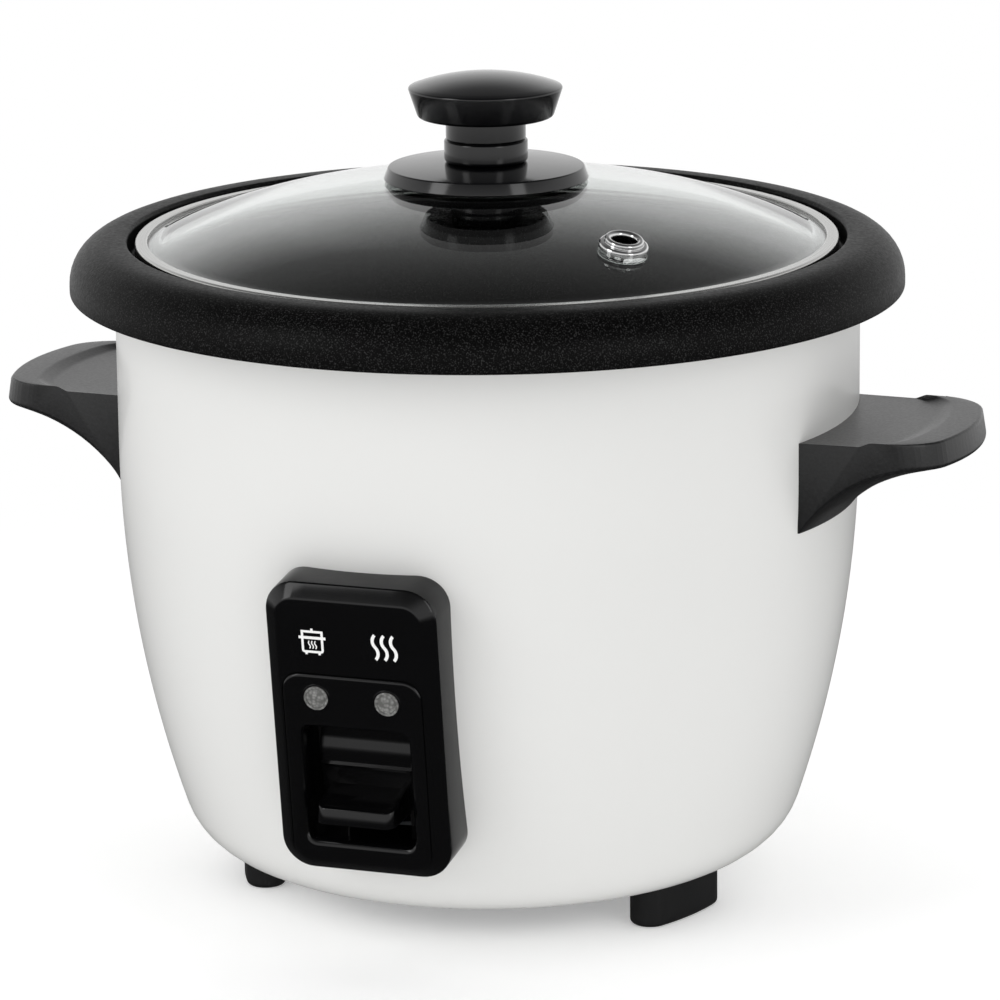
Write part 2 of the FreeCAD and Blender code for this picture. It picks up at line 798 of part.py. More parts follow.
guide_bore = magnet_radius + magnet_play
guide_outer = guide_bore + guide_wall
guide_low = liner_floor - guide_drop
guide_top = liner_floor + guide_rise
flange_low = liner_floor - guide_flange_thickness
rod_room = rod_radius + magnet_play
thermostat_guide = turned([
    (rod_room, guide_low), (guide_outer, guide_low), (guide_outer, flange_low), (guide_flange, flange_low),
    (guide_flange, liner_floor), (guide_outer, liner_floor), (guide_outer, guide_top),
    (guide_bore, guide_top),
    (guide_bore, guide_low + guide_flange_thickness), (rod_room, guide_low + guide_flange_thickness)])
sensor_low = pot_bottom - sensor_height
sensor_cap = turned([
    (0, pot_bottom), (sensor_radius, pot_bottom, sensor_edge), (sensor_radius, sensor_low),
    (sensor_radius - sensor_wall, sensor_low),
    (sensor_radius - sensor_wall, pot_bottom - sensor_wall, sensor_edge - sensor_wall),
    (0, pot_bottom - sensor_wall)])
ferrite_low = pot_bottom - sensor_wall - ferrite_thickness
sensor_ferrite = rod(ferrite_radius, up * ferrite_low, up * (pot_bottom - sensor_wall))
magnet_top = ferrite_low - magnet_lift - sensor_travel - fork_play
magnet_low = magnet_top - magnet_height
lift_magnet = rod(magnet_radius, up * magnet_low, up * magnet_top)
upper_collar = pivot_height + fork_pin_radius + fork_play
lower_collar = pivot_height - fork_pin_radius - fork_play
magnet_rod = rod(rod_radius, up * (lower_collar - 2 * collar_thickness), up * magnet_low)
magnet_rod = magnet_rod.fuse(rod(collar_radius, up * upper_collar, up * (upper_collar + collar_thickness)))
magnet_rod = magnet_rod.fuse(rod(collar_radius, up * (lower_collar - collar_thickness), up * lower_collar))
magnet_rod = magnet_rod.removeSplitter()


def spring_point(turns, low, high):
    """A point of the spring's helix and its heading."""
    angle = 2 * math.pi * turns
    climb = (high - low) / spring_turns
    point = FreeCAD.Vector(
        spring_radius * math.cos(angle), spring_radius * math.sin(angle), low + climb * turns)
    heading = FreeCAD.Vector(-math.sin(angle), math.cos(angle), climb / (2 * math.pi * spring_radius))
    return point, heading.normalize()


def spring_solid(low, high):
    """One unbroken wire, wound in pairs of arcs of a quarter turn."""
    edges = []
    for i in range(spring_turns * spring_arcs):
        start, leave = spring_point(i / spring_arcs, low, high)
        end, arrive = spring_point((i + 1) / spring_arcs, low, high)
        run = end - start
        both = leave + arrive
        spread = 2 * (1 - leave.dot(arrive))
        reach = (math.sqrt(run.dot(both) ** 2 + spread * run.dot(run)) - run.dot(both)) / spread
        joint = (start + leave * reach + end - arrive * reach) * 0.5
        first, heading = smooth_arc(start, leave, joint)
        second, heading = smooth_arc(joint, heading, end)
        edges += [first, second]
    start, leave = spring_point(0, low, high)
    wire_end = Part.Wire([Part.Edge(Part.Circle(start, leave, spring_wire))])
    return Part.Wire(edges).makePipeShell([wire_end], True, False)


def spring_gap(low, high):
    """The least gap between one turn of the wire and the next, on points."""
    per_turn = 6 * spring_arcs
    samples = [spring_point(i / per_turn, low, high)[0] for i in range(spring_turns * per_turn)]
    gaps = [a.distanceToPoint(b) for i, a in enumerate(samples) for b in samples[i + per_turn // 2:]]
    return min(gaps) - 2 * spring_wire


spring_low = liner_floor + spring_wire
spring_high = pot_bottom - sensor_wall - spring_wire
sensor_spring = spring_solid(spring_low, spring_high)
print("sensor spring least gap", round(spring_gap(spring_low, spring_high), 2))


# Wiring pieces that hang under the liner's floor

tail_reach = element_circle * math.cos(math.radians(element_gap_deg / 2)) - element_radius
block_reach = (guide_flange + tail_reach) / 2
terminal_block = block(-block_length / 2, block_reach - block_width / 2, liner_floor - block_height,
                       block_length / 2, block_reach + block_width / 2, liner_floor)
fuse_axis = FreeCAD.Vector(fuse_reach, 0, liner_floor - fuse_radius - fuse_clip_wall)
thermal_fuse = rod(fuse_radius, fuse_axis - back * (fuse_length / 2), fuse_axis + back * (fuse_length / 2))
clip_half = fuse_radius + fuse_clip_wall
fuse_clip = block(fuse_reach - clip_half, -fuse_clip_width / 2, fuse_axis.z - fuse_radius / 2,
                  fuse_reach + clip_half, fuse_clip_width / 2, liner_floor).cut(thermal_fuse)


# Side handles

def handle_solid():
    """The right handle: a dished shelf with a raised end and a hollowed underside."""
    root = body_radius - body_wall - handle_half_width
    tip_top = handle_top + handle_lip
    lip_start = handle_reach - handle_lip_length
    tip_low = handle_top + handle_lip - handle_tip_thickness
    throat = front(body_radius + handle_throat, handle_bottom + handle_throat_height)
    tip = front(handle_reach, tip_low)
    under = math.radians(handle_under_deg)
    sweep, heading = smooth_arc(tip, front(-math.cos(under), -math.sin(under)), throat)
    seat = front(body_radius - handle_throat / 2, handle_bottom)
    drop, heading = smooth_arc(throat, heading, seat)
    corners = [seat, front(root, handle_bottom), front(root, handle_top),
               front(lip_start - handle_lip * 2, handle_top), front(lip_start, tip_top),
               front(handle_reach - handle_lip, tip_top), tip]
    edges = [Part.makeLine(a, b) for a, b in zip(corners, corners[1:])]
    shelf = Part.Face(Part.Wire(edges + [sweep, drop]))
    shelf.translate(back * (-handle_half_width))
    shelf = shelf.extrude(back * (2 * handle_half_width))
    tip_x = handle_reach - handle_bow
    bow = Part.Arc(plan(tip_x, -handle_tip_half_width), plan(handle_reach, 0),
                   plan(tip_x, handle_tip_half_width)).toShape()
    rim = [plan(tip_x, handle_tip_half_width), plan(root, handle_half_width),
           plan(root, -handle_half_width), plan(tip_x, -handle_tip_half_width)]
    footprint = Part.Face(Part.Wire([bow] + [Part.makeLine(a, b) for a, b in zip(rim, rim[1:])]))
    footprint = footprint.extrude(up * (2 * handle_top))
    corner_x = tip_x - 1e-6
    footprint = soften(footprint, handle_corner, lambda edge: (
        edge.BoundBox.XMin > corner_x and edge.BoundBox.YLength < 1e-6))
    return shelf.common(footprint)


handle_right = handle_solid().cut(body_fill)
handle_screws = []
screw_height = (handle_top + handle_bottom) / 2
screw_face = math.sqrt((body_radius - body_wall) ** 2 - handle_screw_spread ** 2)
for spread in (-handle_screw_spread, handle_screw_spread):
    seat = FreeCAD.Vector(screw_face, spread, screw_height)
    shank = rod(screw_radius, seat - right, seat + right * handle_screw_depth)
    head = rod(screw_head_radius, seat - right * screw_head_height, seat).common(body_inside)
    handle_screws.append(head.fuse(shank).removeSplitter())
    handle_right = handle_right.cut(shank)
handle_left = turn(handle_right, 180)
handle_screws += [turn(screw, 180) for screw in handle_screws]


# Power inlet

def inlet_slab(half_width, half_height, radius, y0, y1):
    """A rounded block standing on its side at the back."""
    face = outline(rectangle(-half_width, inlet_height - half_height, half_width,
                             inlet_height + half_height, radius), front)
    face.translate(back * y0)
    return face.extrude(back * (y1 - y0))


inlet_face = body_radius_at(inlet_height) + inlet_standoff
inlet_floor = inlet_face - inlet_depth
inlet_boss = inlet_slab(inlet_half_width, inlet_half_height, inlet_corner, inlet_floor, inlet_face)
inlet_boss = soften(inlet_boss, foot_edge, lambda edge: edge.BoundBox.YMin > inlet_face - 1e-6)
inlet_boss = inlet_boss.cut(body_fill)
inlet_case = inlet_slab(inlet_mouth_half_width + inlet_wall, inlet_mouth_half_height + inlet_wall,
                        inlet_corner / 2, inlet_floor - inlet_wall, inlet_face - inlet_wall)
inlet_mouth = inlet_slab(inlet_mouth_half_width, inlet_mouth_half_height, inlet_corner / 2,
                         inlet_floor, inlet_face + over)
power_inlet = inlet_boss.fuse(inlet_case).cut(inlet_mouth).removeSplitter()
inlet_pins = []
for x in (-inlet_pin_spacing / 2, inlet_pin_spacing / 2):
    start = FreeCAD.Vector(x, inlet_floor - inlet_wall - inlet_tail, inlet_height)
    pin = rod(inlet_pin_radius, start, FreeCAD.Vector(x, inlet_floor + inlet_pin_length, inlet_height))
    inlet_pins.append(soften(pin, inlet_pin_radius / 2, lambda edge: edge.BoundBox.YMin > inlet_floor))
    power_inlet = power_inlet.cut(pin)


# Body shell with its openings

outer_shell = body_fill.cut(body_inside)
outer_shell = outer_shell.cut(Part.makeCylinder(bottom_opening_radius, base_low))
lever_slot = block(-slot_half_width, -body_radius, slot_low, slot_half_width, 0, slot_high)
outer_shell = outer_shell.cut(lever_slot)
outer_shell = outer_shell.cut(inlet_case)
for screw in foot_shanks + handle_screws:
    outer_shell = outer_shell.cut(screw)


parts = {
    "outer_shell": outer_shell, "base_plate": base_plate, "foot_screws": foot_screws,
    "inner_liner": inner_liner,
    "heating_plate": heating_plate, "plate_screws": plate_screws, "heating_element": heating_element,
    "thermostat_guide": thermostat_guide, "sensor_spring": sensor_spring, "switch_bracket": switch_bracket,
    "pivot_pin": pivot_pin, "micro_switch": micro_switch, "terminal_block": terminal_block,
    "thermal_fuse": thermal_fuse, "fuse_clip": fuse_clip, "control_bezel": control_bezel,
    "control_plate": control_plate, "cook_lens": lenses["cook"], "warm_lens": lenses["warm"],
    "cook_lamp": lamps["cook"], "warm_lamp": lamps["warm"], "lamp_holder": lamp_holder,
    "handle_left": handle_left, "handle_right": handle_right, "handle_screws": handle_screws,
    "power_inlet": power_inlet, "inlet_pins": inlet_pins, "cooking_pot": cooking_pot,
    "pot_rim": pot_rim, "lid_glass": lid_glass, "lid_band": lid_band, "vent_eyelet": vent_eyelet,
    "knob": knob, "knob_seat": knob_seat, "knob_gasket": knob_gasket, "knob_screw": knob_screw,
    "sensor_cap": sensor_cap,
    "sensor_ferrite": sensor_ferrite, "magnet_rod": magnet_rod, "lift_magnet": lift_magnet,
    "switch_paddle": switch_paddle, "lever_arm": lever_arm,
}
parts.update(feet)

os.makedirs("parts", exist_ok=True)
for name, shape in parts.items():
    if isinstance(shape, list):
        shape = Part.Compound(shape)
    shape.exportStep("parts/" + name + ".step")
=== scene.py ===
"""A rice cooker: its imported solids, dressed with smooth forms and real finishes."""

import logging
import math
from dataclasses import dataclass, field
from enum import Enum
from typing import Any, Iterable, Optional, Sequence, Union

import bmesh
import bpy
from mathutils import Matrix, Vector


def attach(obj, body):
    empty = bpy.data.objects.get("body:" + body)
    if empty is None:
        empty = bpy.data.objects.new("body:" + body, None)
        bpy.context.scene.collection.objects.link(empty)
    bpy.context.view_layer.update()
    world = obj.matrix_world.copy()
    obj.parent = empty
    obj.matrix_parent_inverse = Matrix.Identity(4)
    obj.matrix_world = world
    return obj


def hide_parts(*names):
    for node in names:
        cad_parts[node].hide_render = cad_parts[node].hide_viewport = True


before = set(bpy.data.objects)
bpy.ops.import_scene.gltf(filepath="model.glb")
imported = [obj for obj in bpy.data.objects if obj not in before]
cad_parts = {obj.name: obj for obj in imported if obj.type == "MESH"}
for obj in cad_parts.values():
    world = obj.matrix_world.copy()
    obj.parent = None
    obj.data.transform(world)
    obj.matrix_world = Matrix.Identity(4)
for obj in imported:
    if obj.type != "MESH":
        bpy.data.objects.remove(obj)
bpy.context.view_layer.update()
MM = 0.001
WELD = 1e-4
OUT = Vector((1.0, 0.0, 0.0))
UP = Vector((0.0, 0.0, 1.0))
WHITE = "#FFFFFF"
LOG = logging.getLogger("rice_cooker")

Corner = tuple[float, float, float]
Steps = tuple[tuple[float, float], ...]
Stops = Sequence[tuple[float, str]]
Key = Union[str, int]
Mesh = bmesh.types.BMesh
Tree = bpy.types.NodeTree
Node = bpy.types.Node
Socket = bpy.types.NodeSocket


class Body(Enum):
    """The moving bodies that pieces ride on."""

    HOUSING = "housing"
    POT = "pot"
    LID = "lid"
    LEVER = "lever"


class Side(Enum):
    """The two sides of the cooker, by their turn in degrees from the right."""

    LEFT = 180.0
    RIGHT = 0.0


class Pattern(Enum):
    """The textures that finishes are drawn with."""

    GRAIN = "ShaderNodeTexNoise"
    CELLS = "ShaderNodeTexVoronoi"


# Nodes


def linear(code: str) -> tuple[float, float, float, float]:
    """Turns an sRGB hex value into linear light.

    Args:
        code: The colour, such as "#C0FFEE".

    Returns:
        Red, green, blue and an alpha of one.
    """
    shares = [int(code[i:i + 2], 16) / 255 for i in (1, 3, 5)]
    light = [s / 12.92 if s <= 0.04045 else ((s + 0.055) / 1.055) ** 2.4 for s in shares]
    return light[0], light[1], light[2], 1.0


def blank_tree(owner: Union[bpy.types.Material, bpy.types.World]) -> Tree:
    """Empties the nodes of a material or the world.

    Args:
        owner: What has the nodes.

    Returns:
        Its node tree.
    """
    owner.use_nodes = True
    owner.node_tree.nodes.clear()
    return owner.node_tree


def add_node(tree: Tree, kind: str, settings: Optional[dict[Key, Any]] = None,
             links: Optional[dict[Key, Socket]] = None) -> Node:
    """Adds a node with its settings and links.

    Args:
        tree: The node tree that gets the node.
        kind: The node's type.
        settings: Values by property or input name, properties first.
        links: Output sockets by the input that they feed.

    Returns:
        The new node.
    """
    node = tree.nodes.new(kind)
    for key, value in (settings or {}).items():
        if isinstance(key, str) and key in node.bl_rna.properties:
            setattr(node, key, value)
        else:
            node.inputs[key].default_value = value
    for key, socket in (links or {}).items():
        tree.links.new(socket, node.inputs[key])
    return node


def set_stops(ramp: Node, stops: Stops) -> None:
    """Sets the colours along a ramp.

    Args:
        ramp: The ramp's node.
        stops: Places on the ramp, rising, with their colours.
    """
    marks = ramp.color_ramp.elements
    while len(marks) < len(stops):
        marks.new(0.5)
    for mark, (place, colour) in zip(marks, stops):
        mark.position = place
        mark.color = linear(colour)


def mix_by_ray(tree: Tree, shader: Socket, *shown: tuple[str, Socket]) -> Socket:
    """Shows other shaders to some kinds of light ray.

    Args:
        tree: The node tree.
        shader: What all other rays see.
        shown: Kinds of ray with what they see; a later one wins.

    Returns:
        The mixed shader.
    """
    path = add_node(tree, "ShaderNodeLightPath")
    for ray, other in shown:
        mixed = add_node(tree, "ShaderNodeMixShader", links={"Fac": path.outputs[ray], 1: shader, 2: other})
        shader = mixed.outputs["Shader"]
    return shader


# Finishes


class Skin:
    """A finish's material: its shader and what patterns it."""

    def __init__(self, finish: "Finish") -> None:
        """Makes the material in one plain colour.

        Args:
            finish: The finish.
        """
        self.finish = finish
        self.material = bpy.data.materials.new(finish.name)
        self.tree = blank_tree(self.material)
        self.shader = add_node(self.tree, "ShaderNodeBsdfPrincipled", {
            "Base Color": linear(finish.colour), "Roughness": finish.roughness, "Metallic": finish.metallic})
        add_node(self.tree, "ShaderNodeOutputMaterial", links={"Surface": self.shader.outputs["BSDF"]})
        self.place = add_node(self.tree, "ShaderNodeTexCoord").outputs["Object"]

    def set(self, values: dict[str, float]) -> None:
        """Sets values of the shader by their names."""
        for key, value in values.items():
            self.shader.inputs[key].default_value = value

    def draw(self, pattern: Pattern, size_mm: float, detail: float, place: Optional[Socket] = None) -> Node:
        """Draws a pattern whose features have a real size.

        Args:
            pattern: The pattern.
            size_mm: About how far its features are across.
            detail: How many finer layers it has.
            place: What it is drawn on, if that isn't the piece's own coordinates.

        Returns:
            The pattern's node, whose first output goes from 0 to 1.
        """
        settings = {"Scale": 1.0 / (size_mm * MM), "Detail": detail}
        return add_node(self.tree, pattern.value, settings, {"Vector": place or self.place})

    def show(self, fac: Socket, spread: float = 0.0, depth_mm: float = 0.0, strength: float = 0.0,
             stops: Stops = ()) -> None:
        """Lets a pattern change the surface.

        Args:
            fac: The pattern, from 0 to 1.
            spread: How far the roughness wanders either way.
            depth_mm: The height of the pattern's peaks.
            strength: How much of that height shows.
            stops: Places on the pattern with their colours.
        """
        fed = {}
        if spread:
            rough = self.finish.roughness
            fed["Roughness"] = add_node(self.tree, "ShaderNodeMapRange", {
                "To Min": max(rough - spread, 0.0), "To Max": rough + spread}, {"Value": fac})
        if depth_mm:
            fed["Normal"] = add_node(self.tree, "ShaderNodeBump", {
                "Strength": strength, "Distance": depth_mm * MM}, {"Height": fac})
        if stops:
            fed["Base Color"] = add_node(self.tree, "ShaderNodeValToRGB", links={"Fac": fac})
            set_stops(fed["Base Color"], stops)
        for key, node in fed.items():
            self.tree.links.new(node.outputs[0], self.shader.inputs[key])


@dataclass(frozen=True)
class Finish:
    """A surface finish with one material of its own."""

    name: str
    slot: str
    colour: str
    roughness: float
    metallic: float = 0.0

    def material(self) -> bpy.types.Material:
        """Gives the finish's material, made on its first use.

        Returns:
            The material.
        """
        made = bpy.data.materials.get(self.name)
        if made is None:
            skin = Skin(self)
            self.dress(skin)
            made = skin.material
        return made

    def dress(self, skin: Skin) -> None:
        """Patterns the finish's skin."""
        raise NotImplementedError


@dataclass(frozen=True)
class BakedEnamel(Finish):
    """Sprayed and baked white paint: bright, glossy, with a faint orange peel in its reflections."""

    peel_mm: float = 2.2
    drift_mm: float = 60.0
    clear_coat: float = 0.35
    clear_roughness: float = 0.08

    def dress(self, skin: Skin) -> None:
        """Adds the clear top, the peel and a slow drift of the gloss.

        Args:
            skin: The finish's skin.
        """
        skin.set({"Coat Weight": self.clear_coat, "Coat Roughness": self.clear_roughness})
        skin.show(skin.draw(Pattern.GRAIN, self.drift_mm, 2.0).outputs[0], spread=0.05)
        skin.show(skin.draw(Pattern.GRAIN, self.peel_mm, 1.0).outputs[0], depth_mm=0.02, strength=0.10)


@dataclass(frozen=True)
class SpeckledCoat(Finish):
    """Rolled-on non-stick coating: near black, slightly pebbled, with fine pale flecks that glint."""

    fleck_mm: float = 0.40
    pebble_mm: float = 0.9
    fleck_colour: str = "#303030"
    specular: float = 0.06

    def dress(self, skin: Skin) -> None:
        """Adds the flecks, the pebbling and the uneven gloss.

        Args:
            skin: The finish's skin.
        """
        skin.set({"Specular IOR Level": self.specular})
        fleck = skin.draw(Pattern.GRAIN, self.fleck_mm, 1.0).outputs[0]
        skin.show(fleck, stops=((0.0, self.colour), (0.54, self.colour), (0.72, self.fleck_colour)))
        pebble = skin.draw(Pattern.GRAIN, self.pebble_mm, 2.0).outputs[0]
        skin.show(pebble, spread=0.14, depth_mm=0.06, strength=0.45)


@dataclass(frozen=True)
class GlossMoulding(Finish):
    """Moulded black plastic from a polished tool: deep, with sharp reflections and soft wipe marks."""

    wipe_mm: float = 14.0
    specular: float = 0.5

    def dress(self, skin: Skin) -> None:
        """Adds the wipe marks to the gloss."""
        skin.set({"Specular IOR Level": self.specular})
        skin.show(skin.draw(Pattern.GRAIN, self.wipe_mm, 4.0).outputs[0], spread=0.04)


@dataclass(frozen=True)
class GrainedMoulding(Finish):
    """Moulded plastic from a spark-eroded tool: an even fine grain that breaks the light up."""

    grain_mm: float = 0.8
    depth_mm: float = 0.05
    pale: str = "#333334"

    def dress(self, skin: Skin) -> None:
        """Adds the grain, with its peaks a little paler."""
        grain = skin.draw(Pattern.GRAIN, self.grain_mm, 2.0).outputs[0]
        skin.show(grain, 0.08, self.depth_mm, 0.5, ((0.3, self.colour), (0.75, self.pale)))


@dataclass(frozen=True)
class ToughGlass(Finish):
    """Tempered soda-lime glass: clear with a grey-green breath, and faint wipe marks in its gloss."""

    wipe_mm: float = 30.0
    ior: float = 1.52

    def dress(self, skin: Skin) -> None:
        """Makes the shader clear and adds the wipe marks."""
        skin.set({"Transmission Weight": 1.0, "IOR": self.ior})
        skin.show(skin.draw(Pattern.GRAIN, self.wipe_mm, 3.0).outputs[0], spread=0.008)


@dataclass(frozen=True)
class SpunMetal(Finish):
    """Metal turned or brushed on a lathe: fine rings about the axis that draw the light out."""

    metallic: float = 1.0
    ring_mm: float = 0.5
    depth_mm: float = 0.01
    drawn_out: float = 0.4

    def dress(self, skin: Skin) -> None:
        """Adds rings from the distance to the axis and the height.

        Args:
            skin: The finish's skin.
        """
        skin.set({"Anisotropic": self.drawn_out})
        tree = skin.tree
        parts = add_node(tree, "ShaderNodeSeparateXYZ", links={"Vector": skin.place}).outputs
        flat = add_node(tree, "ShaderNodeCombineXYZ", links={"X": parts["X"], "Y": parts["Y"]})
        reach = add_node(tree, "ShaderNodeVectorMath", {"operation": "LENGTH"}, {0: flat.outputs["Vector"]})
        across = add_node(tree, "ShaderNodeCombineXYZ", links={"X": reach.outputs["Value"], "Y": parts["Z"]})
        rings = skin.draw(Pattern.GRAIN, self.ring_mm, 3.0, across.outputs["Vector"])
        skin.show(rings.outputs[0], 0.12, self.depth_mm, 0.25)


@dataclass(frozen=True)
class PolishedMetal(Finish):
    """Plated or polished metal: a near mirror with hairline rub marks."""

    metallic: float = 1.0
    rub_mm: float = 3.0

    def dress(self, skin: Skin) -> None:
        """Adds the rub marks to the gloss."""
        skin.show(skin.draw(Pattern.GRAIN, self.rub_mm, 5.0).outputs[0], spread=0.04)


@dataclass(frozen=True)
class ZincSheet(Finish):
    """Galvanised sheet steel: a grey metal with a crystal spangle of slightly different greys."""

    metallic: float = 1.0
    spangle_mm: float = 5.0
    pale: str = "#B4B8BA"

    def dress(self, skin: Skin) -> None:
        """Adds the spangle.

        Args:
            skin: The finish's skin.
        """
        cells = skin.draw(Pattern.CELLS, self.spangle_mm, 0.0).outputs["Color"]
        shades = add_node(skin.tree, "ShaderNodeSeparateColor", links={"Color": cells}).outputs
        skin.show(shades["Red"], stops=((0.0, self.colour), (1.0, self.pale)))
        skin.show(shades["Green"], spread=0.08)


@dataclass(frozen=True)
class LampLens(Finish):
    """Moulded clear plastic with a prismed back: pale grey and lively, as it holds a little light."""

    prism_mm: float = 0.9
    clearness: float = 0.45
    dark: str = "#969694"
    ior: float = 1.49

    def dress(self, skin: Skin) -> None:
        """Makes the shader partly clear and adds the prisms.

        Args:
            skin: The finish's skin.
        """
        skin.set({"Transmission Weight": self.clearness, "IOR": self.ior})
        prism = skin.draw(Pattern.CELLS, self.prism_mm, 0.0).outputs["Distance"]
        skin.show(prism, depth_mm=0.03, strength=0.2, stops=((0.0, self.colour), (0.7, self.dark)))


@dataclass(frozen=True)
class FineGrit(Finish):
    """A fired, pressed, printed or cured surface: matt, with a fine grit."""

    grit_mm: float = 0.5
    pale: str = WHITE

    def dress(self, skin: Skin) -> None:
        """Adds the grit."""
        grit = skin.draw(Pattern.GRAIN, self.grit_mm, 3.0).outputs[0]
        skin.show(grit, 0.06, 0.02, 0.2, ((0.35, self.colour), (0.7, self.pale)))


WHITE_ENAMEL = BakedEnamel("white_baked_enamel", "white_enamel", "#EDEDEB", 0.30)
NON_STICK = SpeckledCoat("speckled_non_stick", "nonstick", "#060606", 0.40)
PANEL_BLACK = GlossMoulding("gloss_black_abs", "black_gloss", "#060607", 0.12, specular=0.4)
KNOB_BLACK = GlossMoulding("gloss_black_phenolic", "black_plastic", "#08080A", 0.14, specular=0.55)
HANDLE_GRAIN = GrainedMoulding("grained_black_pp", "black_grain", "#101011", 0.34, pale="#1B1B1C")
FOOT_BLACK = GrainedMoulding("matt_black_pp", "black_plastic", "#121213", 0.48, grain_mm=0.6, pale="#1A1A1B")
LID_GLASS = ToughGlass("clear_tempered_glass", "tempered_glass", "#F3F7F5", 0.008)
LID_STEEL = SpunMetal("brushed_stainless", "stainless_band", "#C8C8C6", 0.26, ring_mm=0.35)
LINER_STEEL = SpunMetal("drawn_liner_steel", "liner_steel", "#B9BCBE", 0.34, ring_mm=0.9)
PLATE_ALLOY = SpunMetal("turned_cast_aluminium", "cast_aluminium", "#BDBFC1", 0.42, ring_mm=0.7,
                        depth_mm=0.03)
CHROME = PolishedMetal("chrome_plate", "bright_metal", "#DADADA", 0.09)
BRASS = PolishedMetal("bright_brass", "brass", "#C9A75B", 0.24)
ZINC = ZincSheet("galvanised_steel", "steel", "#9A9EA1", 0.40)
CLEAR_LENS = LampLens("prismed_clear_lens", "clear_lens", "#A8A8A6", 0.12, clearness=0.25, dark="#6E6E6C")
LAMP_GLASS = LampLens("clear_lamp_glass", "lamp_glass", "#E6D9C4", 0.12, clearness=0.8, dark="#C9B79A")
SILICONE = FineGrit("dark_silicone", "dark_rubber", "#151516", 0.62, pale="#1D1D1E")
FERRITE = FineGrit("sintered_ferrite", "ferrite", "#2B2B2D", 0.55, pale="#3A3A3C")
CERAMIC = FineGrit("glazed_ceramic", "ceramic_white", "#E4E2DC", 0.30, pale="#F2F0EA")
SIGN_INK = FineGrit("white_screen_ink", "white_enamel", "#F0F0EE", 0.45, grit_mm=0.2)


# Drawing and shaping


def points_of(geom: Iterable[Any]) -> list[bmesh.types.BMVert]:
    """Picks the points out of what an operator made."""
    return [part for part in geom if isinstance(part, bmesh.types.BMVert)]


def open_edges(bm: Mesh) -> list[bmesh.types.BMEdge]:
    """Picks the edges round the holes of a skin."""
    return [edge for edge in bm.edges if edge.is_boundary]


def face_out(bm: Mesh) -> Mesh:
    """Turns a mesh's faces outwards."""
    bmesh.ops.recalc_face_normals(bm, faces=bm.faces[:])
    return bm


def soften(bm: Mesh, geom: list[Any], offset: float, segments: int, affect: str = "EDGES",
           clamp: bool = True) -> None:
    """Rounds edges or corners.

    Args:
        bm: The mesh.
        geom: The edges or points.
        offset: How far the rounding reaches.
        segments: How many steps it has.
        affect: Whether edges or points are rounded.
        clamp: Whether roundings that would meet stop short.
    """
    bmesh.ops.bevel(bm, geom=geom, offset=offset, offset_type="OFFSET", segments=segments, profile=0.5,
                    affect=affect, material=-1, clamp_overlap=clamp)


def arrival(heading: Vector, chord: Vector) -> Vector:
    """Gives the heading at the end of an arc from that at its start and its chord."""
    along = chord.normalized()
    return along * (2 * heading.dot(along)) - heading


class Section:
    """A line drawn run by run, in mm, in the plane of radius and height."""

    LONGEST_RUN = 3.0
    WIDEST_TURN = math.radians(9.0)
    FEWEST_STEPS = 3

    def __init__(self, r: float, z: float, heading: Vector = OUT) -> None:
        """Starts the line.

        Args:
            r: Radius of the first point.
            z: Height of the first point.
            heading: Where the line leaves for, if it starts with an arc.
        """
        self.bm = bmesh.new()
        self.first = self.tip = self.bm.verts.new((r, 0.0, z))
        self.heading = heading

    def line(self, r: float, z: float) -> "Section":
        """Draws a straight run to a point.

        Args:
            r: Its radius.
            z: Its height.

        Returns:
            The section itself.
        """
        start = self.tip.co.copy()
        self.tip = bmesh.ops.extrude_vert_indiv(self.bm, verts=[self.tip])["verts"][0]
        self.tip.co = (r, 0.0, z)
        self.heading = (self.tip.co - start).normalized()
        return self

    def arc(self, r: float, z: float) -> "Section":
        """Draws an arc to a point, leaving along the line's heading.

        Args:
            r: Its radius.
            z: Its height.

        Returns:
            The section itself.
        """
        start = self.tip.co.copy()
        chord = Vector((r, 0.0, z)) - start
        inward = chord - self.heading * chord.dot(self.heading)
        if inward.length < 1e-6:
            return self.line(r, z)
        inward.normalize()
        radius = chord.length_squared / (2 * chord.dot(inward))
        turn = 2 * math.atan2(chord.dot(inward), chord.dot(self.heading))
        steps = max(turn / self.WIDEST_TURN, turn * radius / self.LONGEST_RUN, self.FEWEST_STEPS)
        made = bmesh.ops.spin(self.bm, geom=[self.tip], cent=start + inward * radius,
                              axis=self.heading.cross(inward), angle=turn, steps=math.ceil(steps))
        self.tip = points_of(made["geom_last"])[0]
        self.heading = arrival(self.heading, chord)
        return self

    def path(self, *corners: Corner) -> "Section":
        """Draws straight runs through corners, rounding those that have a radius.

        Args:
            corners: Radius, height and rounding of each; the last one isn't rounded.

        Returns:
            The section itself.
        """
        for i, (r, z, rounding) in enumerate(corners):
            if not rounding:
                self.line(r, z)
                continue
            spot = Vector((r, 0.0, z))
            before = (self.tip.co - spot).normalized()
            after = (Vector((corners[i + 1][0], 0.0, corners[i + 1][1])) - spot).normalized()
            reach = rounding / math.tan(before.angle(after) / 2)
            start, end = spot + before * reach, spot + after * reach
            self.line(start.x, start.z).arc(end.x, end.z)
        return self

    def close(self) -> "Section":
        """Joins the line's end to its start."""
        self.bm.edges.new((self.tip, self.first))
        return self

    def spun(self, steps: int) -> Mesh:
        """Turns the line about the upright axis.

        Args:
            steps: How many steps make the full turn.

        Returns:
            The turned mesh.
        """
        bm = self.bm
        bmesh.ops.spin(bm, geom=bm.verts[:] + bm.edges[:], cent=(0, 0, 0), axis=UP, angle=math.tau,
                       steps=steps, use_merge=True)
        bmesh.ops.remove_doubles(bm, verts=bm.verts[:], dist=WELD)
        return face_out(bm)


